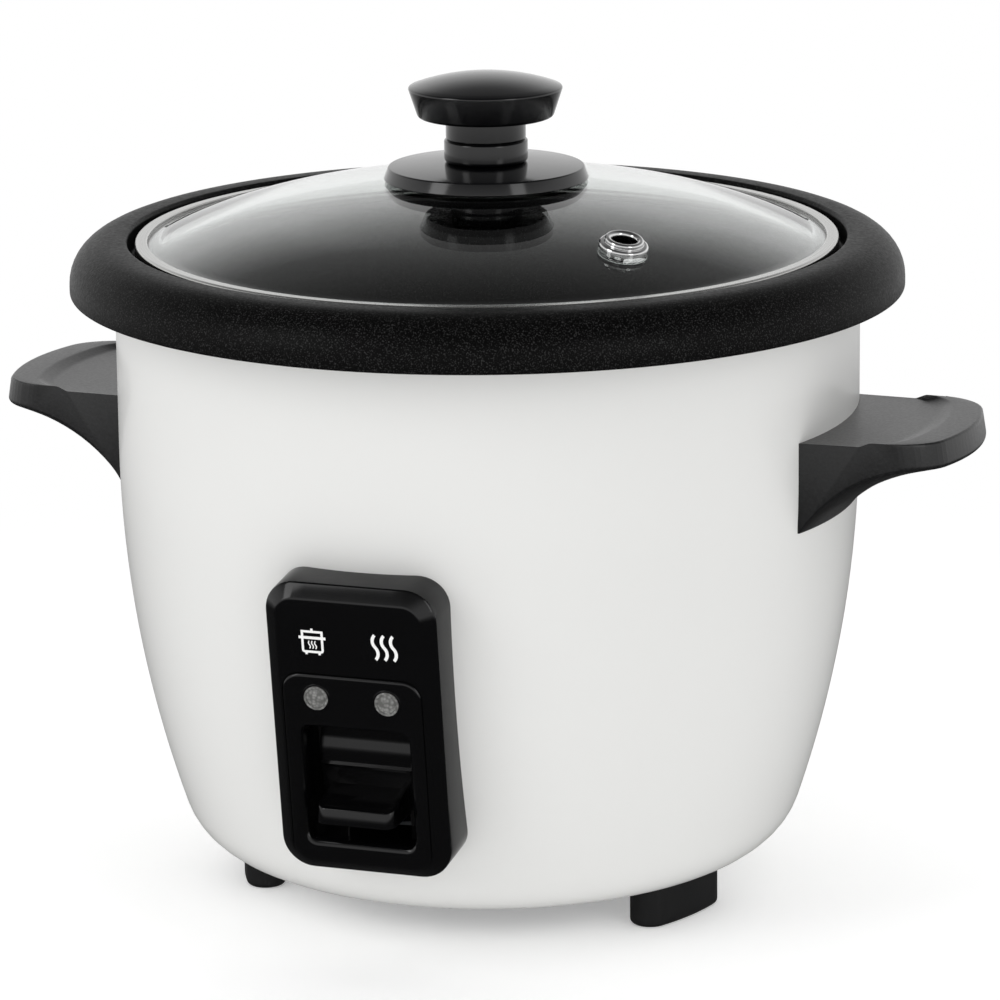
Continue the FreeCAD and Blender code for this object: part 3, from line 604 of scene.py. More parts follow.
@dataclass(frozen=True)
class Rounded:
    """A rectangle with rounded corners, drawn flat in mm at a depth."""

    STEPS = 80
    SHARPEST = 0.2

    half_width: float
    low: float
    high: float
    corner: float
    depth: float

    def inset(self, by: float, depth: float) -> "Rounded":
        """Draws the rectangle in on each side, at another depth."""
        corner = max(self.corner - by, self.SHARPEST)
        return Rounded(self.half_width - by, self.low + by, self.high - by, corner, depth)

    def insets(self, face: float, steps: Steps) -> list["Rounded"]:
        """Draws the rectangle in by steps, each with its depth below a face."""
        return [self.inset(by, face - drop) for by, drop in steps]

    def middle(self, corner: int) -> Vector:
        """Gives the middle of a corner's curve, counted from the lower right.

        Args:
            corner: Which corner.

        Returns:
            The point.
        """
        across = (1.0, 1.0, -1.0, -1.0)[corner % 4] * (self.half_width - self.corner)
        up = (self.low + self.corner, self.high - self.corner)[corner % 4 in (1, 2)]
        return Vector((across, up, self.depth))

    def points(self) -> list[Vector]:
        """Walks the outline; each quarter of the steps rounds a corner and runs along a side.

        Returns:
            The points.
        """
        made = []
        for step in range(self.STEPS):
            corner, along = divmod(4 * step / self.STEPS, 1.0)
            bend, run = min(2 * along, 1.0), max(2 * along - 1.0, 0.0)
            angle = (corner - 1 + bend) * math.pi / 2
            base = self.middle(int(corner)).lerp(self.middle(int(corner) + 1), run)
            made.append(base + Vector((math.cos(angle), math.sin(angle), 0.0)) * self.corner)
        return made


def lofted(rims: Sequence[Rounded]) -> Mesh:
    """Skins a row of rounded rectangles.

    Args:
        rims: The rectangles in order, the first one again at the end for a closed skin.

    Returns:
        The skinned mesh.
    """
    bm = bmesh.new()
    ring = bmesh.ops.create_circle(bm, cap_ends=False, radius=1.0, segments=Rounded.STEPS)["verts"]
    for i, rim in enumerate(rims):
        if i:
            edges = [bm.edges.get(pair) for pair in zip(ring, ring[1:] + ring[:1])]
            fresh = set(bmesh.ops.extrude_edge_only(bm, edges=edges)["geom"])
            ring = [next(e.other_vert(v) for e in v.link_edges if e.other_vert(v) in fresh) for v in ring]
        for vert, spot in zip(ring, rim.points()):
            vert.co = spot
    bmesh.ops.remove_doubles(bm, verts=bm.verts[:], dist=1e-5)
    return face_out(bm)


@dataclass(frozen=True)
class Opening:
    """A square-cornered hole in the skins that face the front, at -1, or the back, at 1."""

    MARGIN = 8.0

    half_width: float
    low: float
    high: float
    facing: int

    def carve(self, bm: Mesh) -> None:
        """Cuts the hole.

        Args:
            bm: The mesh.
        """
        middle = (self.low + self.high) / 2
        reach = math.hypot(self.half_width, self.high - middle) + self.MARGIN
        for spot, normal in ((OUT * self.half_width, OUT), (OUT * -self.half_width, OUT), (UP * self.low, UP),
                             (UP * self.high, UP)):
            geom: dict[Any, None] = {}
            for face in bm.faces:
                centre = face.calc_center_median()
                if centre.y * self.facing > 0 and math.hypot(centre.x, centre.z - middle) < reach:
                    geom.update(dict.fromkeys((face, *face.edges, *face.verts)))
            bmesh.ops.bisect_plane(bm, geom=list(geom), dist=1e-5, plane_co=spot, plane_no=normal)
        gone = []
        for face in bm.faces:
            centre = face.calc_center_median()
            inside = abs(centre.x) < self.half_width and self.low < centre.z < self.high
            if inside and centre.y * self.facing > 0:
                gone.append(face)
        bmesh.ops.delete(bm, geom=gone, context="FACES")


def place_piece(name: str, bm: Mesh, body: Body, finish: Finish, *nodes: str,
                crease_deg: float = 35.0) -> None:
    """Makes a mesh in mm an object of the scene.

    Args:
        name: The piece's name.
        bm: Its mesh, which is used up.
        body: The body that it rides on.
        finish: Its finish.
        nodes: The solids that it stands for.
        crease_deg: Edges that turn more than this stay sharp.
    """
    bmesh.ops.scale(bm, vec=(MM, MM, MM), verts=bm.verts[:])
    mesh = bpy.data.meshes.new(name)
    bm.to_mesh(mesh)
    bm.free()
    mesh.shade_smooth()
    mesh.set_sharp_from_angle(angle=math.radians(crease_deg))
    mesh.materials.append(finish.material())
    piece = bpy.data.objects.new(name, mesh)
    bpy.context.collection.objects.link(piece)
    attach(piece, body.value)
    if nodes:
        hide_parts(*nodes)
    LOG.info("%s: %d faces on %s", name, len(mesh.polygons), body.value)


# Body shell


@dataclass
class BodyShell:
    """The drawn and painted steel shell, from the table to under the pot's rim."""

    radius: float = 101.7
    wall: float = 1.2
    bottom: float = 11.5
    top: float = 172.0
    taper_top: float = 125.0
    taper_in: float = 16.0
    heel_height: float = 13.5
    bottom_opening: float = 54.0
    lever_slot: Opening = Opening(9.0, 33.5, 50.5, -1)
    inlet_hole: Opening = Opening(14.0, 27.0, 46.0, 1)
    steps: int = 192

    @property
    def heel_top(self) -> float:
        """Height where the heel's curve meets the taper."""
        return self.bottom + self.heel_height

    @property
    def lean(self) -> float:
        """Angle of the taper at its lower end."""
        return 2 * math.atan(self.taper_in / (self.taper_top - self.heel_top))

    @property
    def heel_radius(self) -> float:
        """Radius where the heel's curve runs out on the bottom."""
        arc = self.heel_height / (1 - math.sin(self.lean))
        return self.radius - self.taper_in - arc * math.cos(self.lean)

    def radius_at(self, height: float) -> float:
        """Gives the outer radius on the tapered wall.

        Args:
            height: The height there.

        Returns:
            The radius.
        """
        arc = (self.taper_in ** 2 + (self.taper_top - self.heel_top) ** 2) / (2 * self.taper_in)
        drop = max(self.taper_top - height, 0.0)
        return self.radius - arc + math.sqrt(arc ** 2 - drop ** 2)

    def build(self) -> None:
        """Turns the shell and opens its lever slot and inlet hole."""
        line = Section(self.bottom_opening, self.bottom)
        line.line(self.heel_radius, self.bottom)
        line.arc(self.radius - self.taper_in, self.heel_top).arc(self.radius, self.taper_top)
        line.line(self.radius, self.top).line(self.radius - self.wall, self.top)
        line.line(self.radius - self.wall, self.taper_top)
        line.arc(self.radius - self.taper_in - self.wall * math.cos(self.lean),
                 self.heel_top + self.wall * math.sin(self.lean))
        line.arc(self.heel_radius, self.bottom + self.wall).line(self.bottom_opening, self.bottom + self.wall)
        bm = line.close().spun(self.steps)
        for opening in (self.lever_slot, self.inlet_hole):
            opening.carve(bm)
            bmesh.ops.bridge_loops(bm, edges=open_edges(bm))
        place_piece("shell", bm, Body.HOUSING, WHITE_ENAMEL, "outer_shell")


# Cooking pot


@dataclass
class CookingPot:
    """The drawn aluminium pot with its stepped and curled rim."""

    radius: float = 91.6
    wall: float = 1.6
    floor: float = 68.0
    corner: float = 15.0
    ledge: float = 176.0
    ledge_radius: float = 98.0
    rim_top: float = 182.3
    rim_flat: float = 4.3
    rim_curl: float = 11.58
    rim_lip: float = 2.7
    edge: float = 1.2
    lip_edge: float = 0.72
    steps: int = 192

    def build(self) -> None:
        """Turns the pot as one sheet of even thickness."""
        outside = self.ledge_radius + self.rim_flat + self.rim_curl
        lip = self.rim_top - self.rim_curl - self.rim_lip
        step = self.ledge_radius + self.wall
        under, beneath = self.ledge - self.wall, self.rim_top - self.wall
        inside, base = self.radius - self.wall, self.floor + self.wall
        line = Section(0.0, self.floor)
        line.path(
            (self.radius, self.floor, self.corner), (self.radius, under, self.edge), (step, under, self.edge),
            (step, beneath, 0.0), (outside - self.wall, beneath, self.rim_curl - self.wall),
            (outside - self.wall, lip, self.lip_edge), (outside, lip, self.lip_edge),
            (outside, self.rim_top, self.rim_curl), (self.ledge_radius, self.rim_top, self.edge),
            (self.ledge_radius, self.ledge, self.edge), (inside, self.ledge, self.edge),
            (inside, base, self.corner - self.wall), (0.0, base, 0.0))
        place_piece("pot", line.spun(self.steps), Body.POT, NON_STICK, "cooking_pot", "pot_rim")


# Lid


@dataclass
class Lid:
    """The domed glass lid with its steel band and steam vent."""

    ledge: float = 176.0
    band_radius: float = 95.9
    band_height: float = 5.8
    band_sheet: float = 1.0
    band_grip: float = 4.4
    band_edge: float = 0.8
    band_lip_edge: float = 0.3
    thickness: float = 4.0
    rise: float = 17.0
    crown_radius: float = 62.0
    crown_drop: float = 7.2
    knob_hole: float = 3.2
    vent_reach: float = 68.0
    vent_turn_deg: float = 51.0
    vent_cut: float = 5.2
    vent_bore: float = 3.3
    vent_flange: float = 1.4
    # Radius, height over the glass and rounding of the eyelet's rolled top
    vent_top: tuple[Corner, ...] = (
        (4.4, -0.4, 0.0), (6.6, -0.4, 0.3), (6.6, 1.4, 0.8), (5.2, 1.4, 0.2), (5.2, 2.8, 0.7),
        (3.3, 2.8, 1.1), (3.3, 0.0, 0.0))
    # The same for the flange, from the glass's underside
    vent_foot: tuple[Corner, ...] = ((6.6, -1.4, 0.5), (6.6, -0.1, 0.4), (4.4, -0.1, 0.0))
    vent_steps: int = 96
    steps: int = 192

    @property
    def rim_top(self) -> float:
        """Height of the glass's flat edge."""
        return self.ledge + self.band_sheet + self.thickness

    @property
    def top(self) -> float:
        """Height of the glass's crown."""
        return self.rim_top + self.rise

    @property
    def flat(self) -> float:
        """Radius where the dome runs out into the flat edge."""
        return self.band_radius - self.band_grip

    @property
    def glass_edge(self) -> float:
        """Radius of the glass."""
        return self.band_radius - self.band_sheet

    @property
    def crown_arc(self) -> float:
        """Radius of the crown's arc."""
        return (self.crown_radius ** 2 + self.crown_drop ** 2) / (2 * self.crown_drop)

    def dome(self, sink: float) -> tuple[Vector, Vector, Vector]:
        """Gives the points between the dome's arcs.

        Args:
            sink: How far they lie below the top face.

        Returns:
            The crown's middle, its shoulder and the skirt's end.
        """
        lean = math.asin(self.crown_radius / self.crown_arc)
        shoulder = Vector((self.crown_radius - sink * math.sin(lean), 0.0,
                           self.top - self.crown_drop - sink * math.cos(lean)))
        return UP * (self.top - sink), shoulder, Vector((self.flat - sink / 2, 0.0, self.rim_top - sink))

    def vent_axis(self) -> tuple[Vector, Vector]:
        """Finds the vent's place.

        Returns:
            Its point on the glass and the glass's normal there.
        """
        middle, shoulder, end = self.dome(0.0)
        heading = arrival(OUT, shoulder - middle)
        chord = end - shoulder
        normal = Vector((heading.z, 0.0, -heading.x))
        radius = chord.length_squared / (2 * chord.dot(normal))
        centre = shoulder + normal * radius
        run = self.vent_reach - centre.x
        up = math.sqrt(radius ** 2 - run ** 2)
        spot = Vector((self.vent_reach, 0.0, centre.z + math.copysign(up, radius)))
        outward = (spot - centre).normalized() * math.copysign(1.0, radius)
        turn = Matrix.Rotation(math.radians(self.vent_turn_deg - 90.0), 3, "Z")
        return turn @ spot, turn @ outward

    def build(self) -> None:
        """Makes the glass, the band and the vent."""
        self.build_glass()
        self.build_band()
        self.build_vent()

    def build_glass(self) -> None:
        """Turns the glass and opens it under the vent."""
        _, shoulder, end = self.dome(0.0)
        low_middle, low_shoulder, low_end = self.dome(self.thickness)
        tilt = math.asin(self.knob_hole / self.crown_arc)
        hole_top = self.top - self.crown_arc * (1 - math.cos(tilt))
        line = Section(self.knob_hole, hole_top, Vector((math.cos(tilt), 0.0, -math.sin(tilt))))
        line.arc(shoulder.x, shoulder.z).arc(end.x, end.z)
        line.line(self.glass_edge, self.rim_top).line(self.glass_edge, self.rim_top - self.thickness)
        line.line(low_end.x, low_end.z)
        heading = arrival(OUT, low_shoulder - low_middle)
        line.heading = -arrival(heading, low_end - low_shoulder)
        line.arc(low_shoulder.x, low_shoulder.z).arc(self.knob_hole, hole_top - self.thickness)
        bm = line.close().spun(self.steps)
        spot, normal = self.vent_axis()
        gone = []
        for face in bm.faces:
            offset = face.calc_center_median() - spot
            if (offset - normal * offset.dot(normal)).length < self.vent_cut:
                gone.append(face)
        bmesh.ops.delete(bm, geom=gone, context="FACES")
        bmesh.ops.bridge_loops(bm, edges=open_edges(bm))
        place_piece("lid_dome", bm, Body.LID, LID_GLASS, "lid_glass", crease_deg=50.0)

    def build_band(self) -> None:
        """Turns the folded band that grips the glass."""
        top = self.ledge + self.band_height
        inner = self.flat + self.band_sheet
        low = self.rim_top - self.thickness
        line = Section(self.flat, self.ledge)
        line.path((self.band_radius, self.ledge, self.band_edge), (self.band_radius, top, self.band_edge),
                  (inner, top, self.band_lip_edge), (inner, self.rim_top, 0.0),
                  (self.glass_edge, self.rim_top, 0.0), (self.glass_edge, low, 0.0), (self.flat, low, 0.0))
        place_piece("lid_rim_band", line.close().spun(self.steps), Body.LID, LID_STEEL, "lid_band")

    def build_vent(self) -> None:
        """Turns the rolled vent eyelet and sets it square on the glass."""
        foot = [(r, z - self.thickness, rounding) for r, z, rounding in self.vent_foot]
        line = Section(self.vent_bore, -self.thickness - self.vent_flange)
        bm = line.path(*foot, *self.vent_top).close().spun(self.vent_steps)
        spot, normal = self.vent_axis()
        turn = UP.rotation_difference(normal).to_matrix().to_4x4()
        bmesh.ops.transform(bm, matrix=Matrix.Translation(spot) @ turn, verts=bm.verts[:])
        place_piece("vent_grommet", bm, Body.LID, CHROME, "vent_eyelet")


@dataclass
class Knob:
    """The lid's knob on its flat seat."""

    base: float = 199.0
    seat_radius: float = 28.0
    seat_height: float = 2.8
    seat_edge: float = 1.6
    seat_lip: float = 1.8
    seat_draft: float = 1.3
    gasket_radius: float = 26.3
    hole: float = 3.2
    ring_radius: float = 11.4
    ring_height: float = 6.2
    neck_radius: float = 10.9
    neck_height: float = 6.2
    groove_width: float = 0.5
    groove_depth: float = 0.3
    cap_height: float = 11.9
    cap_base_radius: float = 18.4
    cap_radius: float = 21.1
    cap_crown: float = 3.8
    cap_edge: float = 0.6
    wide_edge: float = 1.3
    edge: float = 0.6
    fine_edge: float = 0.3
    steps: int = 160

    def build(self) -> None:
        """Turns the seat and the grip."""
        self.build_seat()
        self.build_grip()

    def build_seat(self) -> None:
        """Turns the seat, a flat cone with a lip that hangs over its gasket."""
        low, top = self.base - self.seat_lip, self.base + self.seat_height
        line = Section(self.hole, self.base)
        line.path((self.gasket_radius, self.base, 0.0), (self.gasket_radius, low, 0.0),
                  (self.seat_radius, low, self.fine_edge),
                  (self.seat_radius - self.seat_draft, self.base + self.seat_edge, self.edge),
                  (self.ring_radius, top, 0.0), (self.hole, top, 0.0))
        place_piece("knob_base", line.close().spun(self.steps), Body.LID, KNOB_BLACK, "knob_seat")

    def build_grip(self) -> None:
        """Turns the grip: a ring, a neck and a flared cap with a low dome."""
        foot = self.base + self.seat_height
        ring_top = foot + self.ring_height
        neck_top = ring_top + self.neck_height
        top = neck_top + self.cap_height
        line = Section(0.0, foot)
        line.path((self.ring_radius, foot, self.wide_edge), (self.ring_radius, ring_top, self.edge),
                  (self.neck_radius - self.groove_depth, ring_top, 0.0),
                  (self.neck_radius, ring_top + self.groove_width, self.fine_edge),
                  (self.neck_radius, neck_top, 0.0), (self.cap_base_radius, neck_top, self.wide_edge),
                  (self.cap_radius, top - self.cap_crown, 0.0))
        brim = line.tip
        line.heading = -arrival(OUT, brim.co - UP * top)
        line.arc(0.0, top)
        soften(line.bm, [brim], self.cap_edge, segments=4, affect="VERTICES", clamp=False)
        place_piece("knob_grip", line.spun(self.steps), Body.LID, KNOB_BLACK, "knob")


# Control panel


@dataclass
class ControlPanel:
    """The gloss panel on the front: bezel, plate, lamp lenses and the sheet behind the window."""

    shell: BodyShell
    mid: float = 60.0
    tilt_deg: float = 7.75
    standoff: float = 7.6
    outline: Rounded = Rounded(23.5, -30.0, 51.4, 8.5, 3.5)
    plate: Rounded = Rounded(19.2, -27.0, 27.0, 5.0, 2.5)
    window: Rounded = Rounded(14.8, -20.6, 11.9, 2.5, 2.5)
    wall: float = 2.2
    collar: float = 1.5
    recess_play: float = 0.15
    plate_face: float = 4.1
    # How far each edge is drawn in, and how far below its face it lies there
    bezel_edge: Steps = (
        (0.0, 3.1), (0.12, 2.85), (0.45, 2.55), (3.3, 0.25), (3.55, 0.12), (3.8, 0.04), (4.05, 0.0))
    plate_edge: Steps = ((0.0, 0.75), (0.2, 0.3), (0.5, 0.08), (0.95, 0.0))
    sill: Steps = ((-2.2, 0.0), (-1.6, 0.06), (-1.0, 0.25), (-0.5, 0.58), (-0.15, 1.05), (0.0, 1.6))
    lamp_spacing: float = 19.5
    lamp_height: float = 20.5
    lens_radius: float = 3.3
    lens_root: float = 1.6
    lens_crown: float = 0.58
    # Reach past the lens's radius, height over the plate and rounding of the lens's rim and the hole's edge
    lens_rim: tuple[Corner, ...] = ((0.0, -1.6, 0.0), (0.0, 0.5, 0.25), (-0.55, 0.5, 0.15), (-0.7, 0.2, 0.0))
    lens_heading: Corner = (-0.94, 0.0, 0.34)
    hole_edge: tuple[Corner, ...] = (
        (0.05, -0.4, 0.0), (0.05, 0.16, 0.1), (0.5, 0.16, 0.2), (0.75, -0.4, 0.0))
    lamp_steps: int = 64
    backing: float = 0.25
    backing_cells: tuple[int, int] = (24, 26)
    seat_sink: float = 0.2
    seat_search: float = 40.0
    seat_halvings: int = 30
    deep: float = -50.0

    @property
    def plane(self) -> float:
        """Distance of the panel's plane from the axis, at its middle height."""
        return self.shell.radius_at(self.mid) + self.standoff

    @property
    def place(self) -> Matrix:
        """Carries a shape drawn flat onto the leaning plane of the panel."""
        turn = Matrix.Rotation(math.radians(90.0 + self.tilt_deg), 4, "X")
        return Matrix.Translation((0.0, -self.plane, self.mid)) @ turn

    def set_on(self, bm: Mesh) -> Mesh:
        """Moves a flat drawn mesh onto the panel."""
        bmesh.ops.transform(bm, matrix=self.place, verts=bm.verts[:])
        return bm

    def seat_back(self, bm: Mesh) -> None:
        """Lays the deepest points of a flat drawn mesh against the shell, just under its paint.

        Args:
            bm: The mesh.
        """
        place = self.place
        for vert in bm.verts:
            if abs(vert.co.z - self.deep) > 1e-3:
                continue
            near, far = -self.seat_search, 0.0
            for _ in range(self.seat_halvings):
                vert.co.z = (near + far) / 2
                spot = place @ vert.co
                if math.hypot(spot.x, spot.y) > self.shell.radius_at(spot.z) - self.seat_sink:
                    far = vert.co.z
                else:
                    near = vert.co.z

    def build(self) -> None:
        """Makes all pieces of the panel."""
        self.build_bezel()
        self.build_plate()
        for name, u in (("cook", -self.lamp_spacing / 2), ("warm", self.lamp_spacing / 2)):
            self.build_lamp(name, u)
        self.build_backing()

    def build_bezel(self) -> None:
        """Skins the bezel from its foot on the shell over its front and into the window."""
        face, back = self.outline.depth, self.outline.depth - self.wall
        recess = self.plate.inset(-self.recess_play, face)
        rims = [self.outline.inset(0.0, self.deep), *self.outline.insets(face, self.bezel_edge), recess,
                recess.inset(0.0, self.plate.depth), self.window, self.window.inset(0.0, self.deep),
                self.window.inset(-self.collar, self.deep), self.window.inset(-self.collar, back),
                self.outline.inset(self.wall, back), self.outline.inset(self.wall, self.deep)]
        bm = lofted([*rims, rims[0]])
        self.seat_back(bm)
        place_piece("panel_bezel", self.set_on(bm), Body.HOUSING, PANEL_BLACK, "control_bezel",
                    crease_deg=30.0)

    def build_plate(self) -> None:
        """Skins the plate with its softened edges and the window's rounded sill."""
        rims = [self.plate, *self.plate.insets(self.plate_face, self.plate_edge),
                *self.window.insets(self.plate_face, self.sill), self.window, self.plate]
        place_piece("panel_plate", self.set_on(lofted(rims)), Body.HOUSING, PANEL_BLACK, "control_plate",
                    crease_deg=40.0)

    def build_lamp(self, name: str, u: float) -> None:
        """Turns a lamp's lens, a low dome inside a raised rim, and the rounded edge of its hole.

        Args:
            name: The lamp's name.
            u: Its place across the panel.
        """
        r, face = self.lens_radius, self.plate_face
        rim, edge = ([(r + out, face + up, rounding) for out, up, rounding in corners]
                     for corners in (self.lens_rim, self.hole_edge))
        lens = Section(0.0, face - self.lens_root).path(*rim)
        lens.heading = Vector(self.lens_heading)
        lens.arc(0.0, face + self.lens_crown)
        ring = Section(edge[0][0], edge[0][1]).path(*edge[1:]).close()
        for piece, line, finish, nodes in ((f"{name}_lamp_lens", lens, CLEAR_LENS, (f"{name}_lens",)),
                                           (f"{name}_lens_ring", ring, PANEL_BLACK, ())):
            bm = line.spun(self.lamp_steps)
            bmesh.ops.translate(bm, vec=(u, self.lamp_height, 0.0), verts=bm.verts[:])
            place_piece(piece, self.set_on(bm), Body.HOUSING, finish, *nodes)

    def build_backing(self) -> None:
        """Lays the window's black back sheet on the shell, open at the lever's slot."""
        rim, shell = self.window, self.shell
        bm = bmesh.new()
        across, up = self.backing_cells
        bmesh.ops.create_grid(bm, x_segments=across, y_segments=up, size=1.0)
        for vert in bm.verts:
            vert.co.x *= rim.half_width
            vert.co.y = (rim.high + rim.low) / 2 + vert.co.y * (rim.high - rim.low) / 2
        self.set_on(bm)
        for vert in bm.verts:
            vert.co.y = -math.sqrt((shell.radius_at(vert.co.z) + self.backing) ** 2 - vert.co.x ** 2)
        shell.lever_slot.carve(bm)
        face_out(bm)
        bmesh.ops.solidify(bm, geom=bm.faces[:], thickness=self.backing)
        place_piece("window_backing", face_out(bm), Body.HOUSING, FOOT_BLACK)


@dataclass
class Paddle:
    """The lever's paddle with its dished top, and the shield that closes the window behind it."""

    panel: ControlPanel
    low: float = 45.6
    lip: float = 4.2
    lip_lean: float = 0.6
    width: float = 21.4
    rise_deg: float = 18.0
    reach: float = 5.4
    root: float = 5.8
    corner: float = 2.6
    border: float = 1.5
    dish: float = 0.5
    edge: float = 0.45
    edge_deg: float = 30.0
    shield: Rounded = Rounded(13.0, -14.0, 9.0, 2.0, -5.2)
    shield_thickness: float = 1.2
    shield_edge: float = 0.3
    # Heights down the shield with how far its face stands out there
    ridge: Steps = ((9.0, 0.0), (6.3, 0.0), (1.5, 1.3), (-0.9, 1.3), (-1.6, 1.9), (-2.6, 1.3), (-14.0, 0.0))

    def build(self) -> None:
        """Shapes the paddle and adds its shield."""
        bm = bmesh.new()
        panel, lean = self.panel, math.radians(self.panel.tilt_deg)
        flush = panel.plane + (self.low - panel.mid) * math.tan(lean)
        tip = -(flush + panel.outline.depth / math.cos(lean) + self.reach)
        root = -(flush - self.root / math.cos(lean))
        lip = self.low + self.lip
        top = lip + (root - tip) * math.tan(math.radians(self.rise_deg))
        corners = ((tip, self.low), (root, self.low), (root, top), (tip + self.lip_lean, lip))
        profile = bm.faces.new([bm.verts.new((-self.width / 2, y, z)) for y, z in corners])
        made = bmesh.ops.extrude_face_region(bm, geom=[profile])["geom"]
        bmesh.ops.translate(bm, vec=OUT * self.width, verts=points_of(made))
        face_out(bm)
        upright = [edge for edge in bm.edges if all(v.co.y < tip + self.lip_lean + WELD for v in edge.verts)
                   and abs(edge.verts[0].co.x - edge.verts[1].co.x) < WELD]
        soften(bm, upright, self.corner, segments=8, clamp=False)
        roof = max(bm.faces, key=lambda face: face.normal.z)
        bmesh.ops.inset_region(bm, faces=[roof], thickness=self.border, depth=0.0)
        bmesh.ops.inset_region(bm, faces=[roof], thickness=self.dish, depth=-self.dish)
        rim = [edge for edge in bm.edges if len(edge.link_faces) == 2
               and edge.calc_face_angle(0.0) > math.radians(self.edge_deg)]
        soften(bm, rim, self.edge, segments=3)
        self.add_shield(bm)
        place_piece("lever_paddle", face_out(bm), Body.LEVER, PANEL_BLACK, "switch_paddle")

    def add_shield(self, bm: Mesh) -> None:
        """Adds the shield, with the ridge across its face.

        Args:
            bm: The paddle's mesh.
        """
        front, edge = self.shield.depth, self.shield_edge
        skin = lofted(self.shield.insets(front, ((0.0, self.shield_thickness), (0.0, edge), (edge, 0.0))))
        bmesh.ops.holes_fill(skin, edges=open_edges(skin))
        for v, _ in self.ridge[1:-1]:
            bmesh.ops.bisect_plane(skin, geom=skin.verts[:] + skin.edges[:] + skin.faces[:], dist=1e-5,
                                   plane_co=(0.0, v, 0.0), plane_no=(0.0, 1.0, 0.0))
        for vert in skin.verts:
            for (high, high_lift), (low, low_lift) in zip(self.ridge, self.ridge[1:]):
                if vert.co.z > front - edge - 0.1 and low <= vert.co.y <= high:
                    vert.co.z += low_lift + (high_lift - low_lift) * (vert.co.y - low) / (high - low)
                    break
        self.panel.set_on(skin)
        carrier = bpy.data.meshes.new("shield")
        skin.to_mesh(carrier)
        skin.free()
        bm.from_mesh(carrier)
        bpy.data.meshes.remove(carrier)


@dataclass(frozen=True)
class Stroke:
    """A printed stroke, as lengths of straight and curved runs with their turns to the left in degrees."""

    LIFT = 1e-4
    BEND_STEPS = 8
    WAVE_BEND = 0.555

    start: tuple[float, float]
    heading_deg: float
    width: float
    runs: Steps

    def draw(self, bm: Mesh) -> None:
        """Draws the stroke, a hair above those before it.

        Args:
            bm: The sign's mesh.
        """
        angle = math.radians(self.heading_deg)
        across = Vector((-math.sin(angle), math.cos(angle), 0.0)) * (self.width / 2)
        spot = Vector((*self.start, self.LIFT * len(bm.faces)))
        edge = bm.edges.new((bm.verts.new(spot + across), bm.verts.new(spot - across)))
        for length, turn_deg in self.runs:
            along = Vector((math.cos(angle), math.sin(angle), 0.0))
            if turn_deg:
                turn = math.radians(turn_deg)
                angle += turn
                middle = spot + UP.cross(along) * (length / turn)
                made = bmesh.ops.spin(bm, geom=[edge, *edge.verts], cent=middle, axis=UP, angle=turn,
                                      steps=self.BEND_STEPS)["geom_last"]
            else:
                made = bmesh.ops.extrude_edge_only(bm, edges=[edge])["geom"]
                bmesh.ops.translate(bm, vec=along * length, verts=points_of(made))
            edge = bm.edges.get(points_of(made))
            spot = (edge.verts[0].co + edge.verts[1].co) / 2


def wave(u: float, v: float, height: float, width: float) -> Stroke:
    """Gives one rising wave of steam.

    Args:
        u: The wave's middle across the sign.
        v: Its middle up the sign.
        height: Its height.
        width: The stroke's width.

    Returns:
        The stroke.
    """
    bend = height * Stroke.WAVE_BEND
    return Stroke((u, v - height / 2), 45.0, width, ((bend, 90.0), (bend, -90.0)))


@dataclass
class Signs:
    """The two printed signs: a plain pot with lid, grips, feet and steam, and rising steam."""

    panel: ControlPanel
    height: float = 36.0
    spacing: float = 19.8
    ink: float = 0.12
    sink: float = 0.01
    line: float = 0.62
    lid_line: float = 0.744
    pot_steam: tuple[float, ...] = (-0.85, 0.0, 0.85)
    steam: tuple[float, ...] = (-2.5, 0.0, 2.5)

    def build(self) -> None:
        """Prints the signs."""
        foot = ((0.9, 0.0),)
        pot = [
            Stroke((-2.7, 3.0), -90.0, self.line,
                   ((5.2, 0.0), (0.8, 90.0), (4.4, 0.0), (0.8, 90.0), (5.2, 0.0))),
            Stroke((-3.0, 2.9), 0.0, self.line, ((6.0, 0.0),)),
            Stroke((-3.7, 1.2), 0.0, self.lid_line, ((7.4, 0.0),)),
            Stroke((0.0, 2.9), 90.0, self.line, foot),
            Stroke((-1.8, -2.6), -90.0, self.line, foot),
            Stroke((1.8, -2.6), -90.0, self.line, foot),
            *(wave(u, -0.75, 2.1, 0.3) for u in self.pot_steam)]
        self.print_sign("pot_sign", -self.spacing / 2, pot)
        self.print_sign("steam_sign", self.spacing / 2, [wave(u, 0.0, 6.8, 0.85) for u in self.steam])

    def print_sign(self, name: str, u: float, strokes: Iterable[Stroke]) -> None:
        """Draws a sign with the thickness of its ink and sets it on the bezel.

        Args:
            name: Its name.
            u: Its middle across the panel.
            strokes: Its strokes.
        """
        bm = bmesh.new()
        for stroke in strokes:
            stroke.draw(bm)
        bmesh.ops.remove_doubles(bm, verts=bm.verts[:], dist=WELD)
        face_out(bm)
        for face in bm.faces:
            if face.normal.z < 0:
                face.normal_flip()
        made = bmesh.ops.extrude_face_region(bm, geom=bm.faces[:])["geom"]
        bmesh.ops.translate(bm, vec=UP * self.ink, verts=points_of(made))
        base = self.panel.outline.depth - self.sink
        bmesh.ops.translate(bm, vec=(u, self.height, base), verts=bm.verts[:])
        place_piece(name, self.panel.set_on(face_out(bm)), Body.HOUSING, SIGN_INK)


# Handles


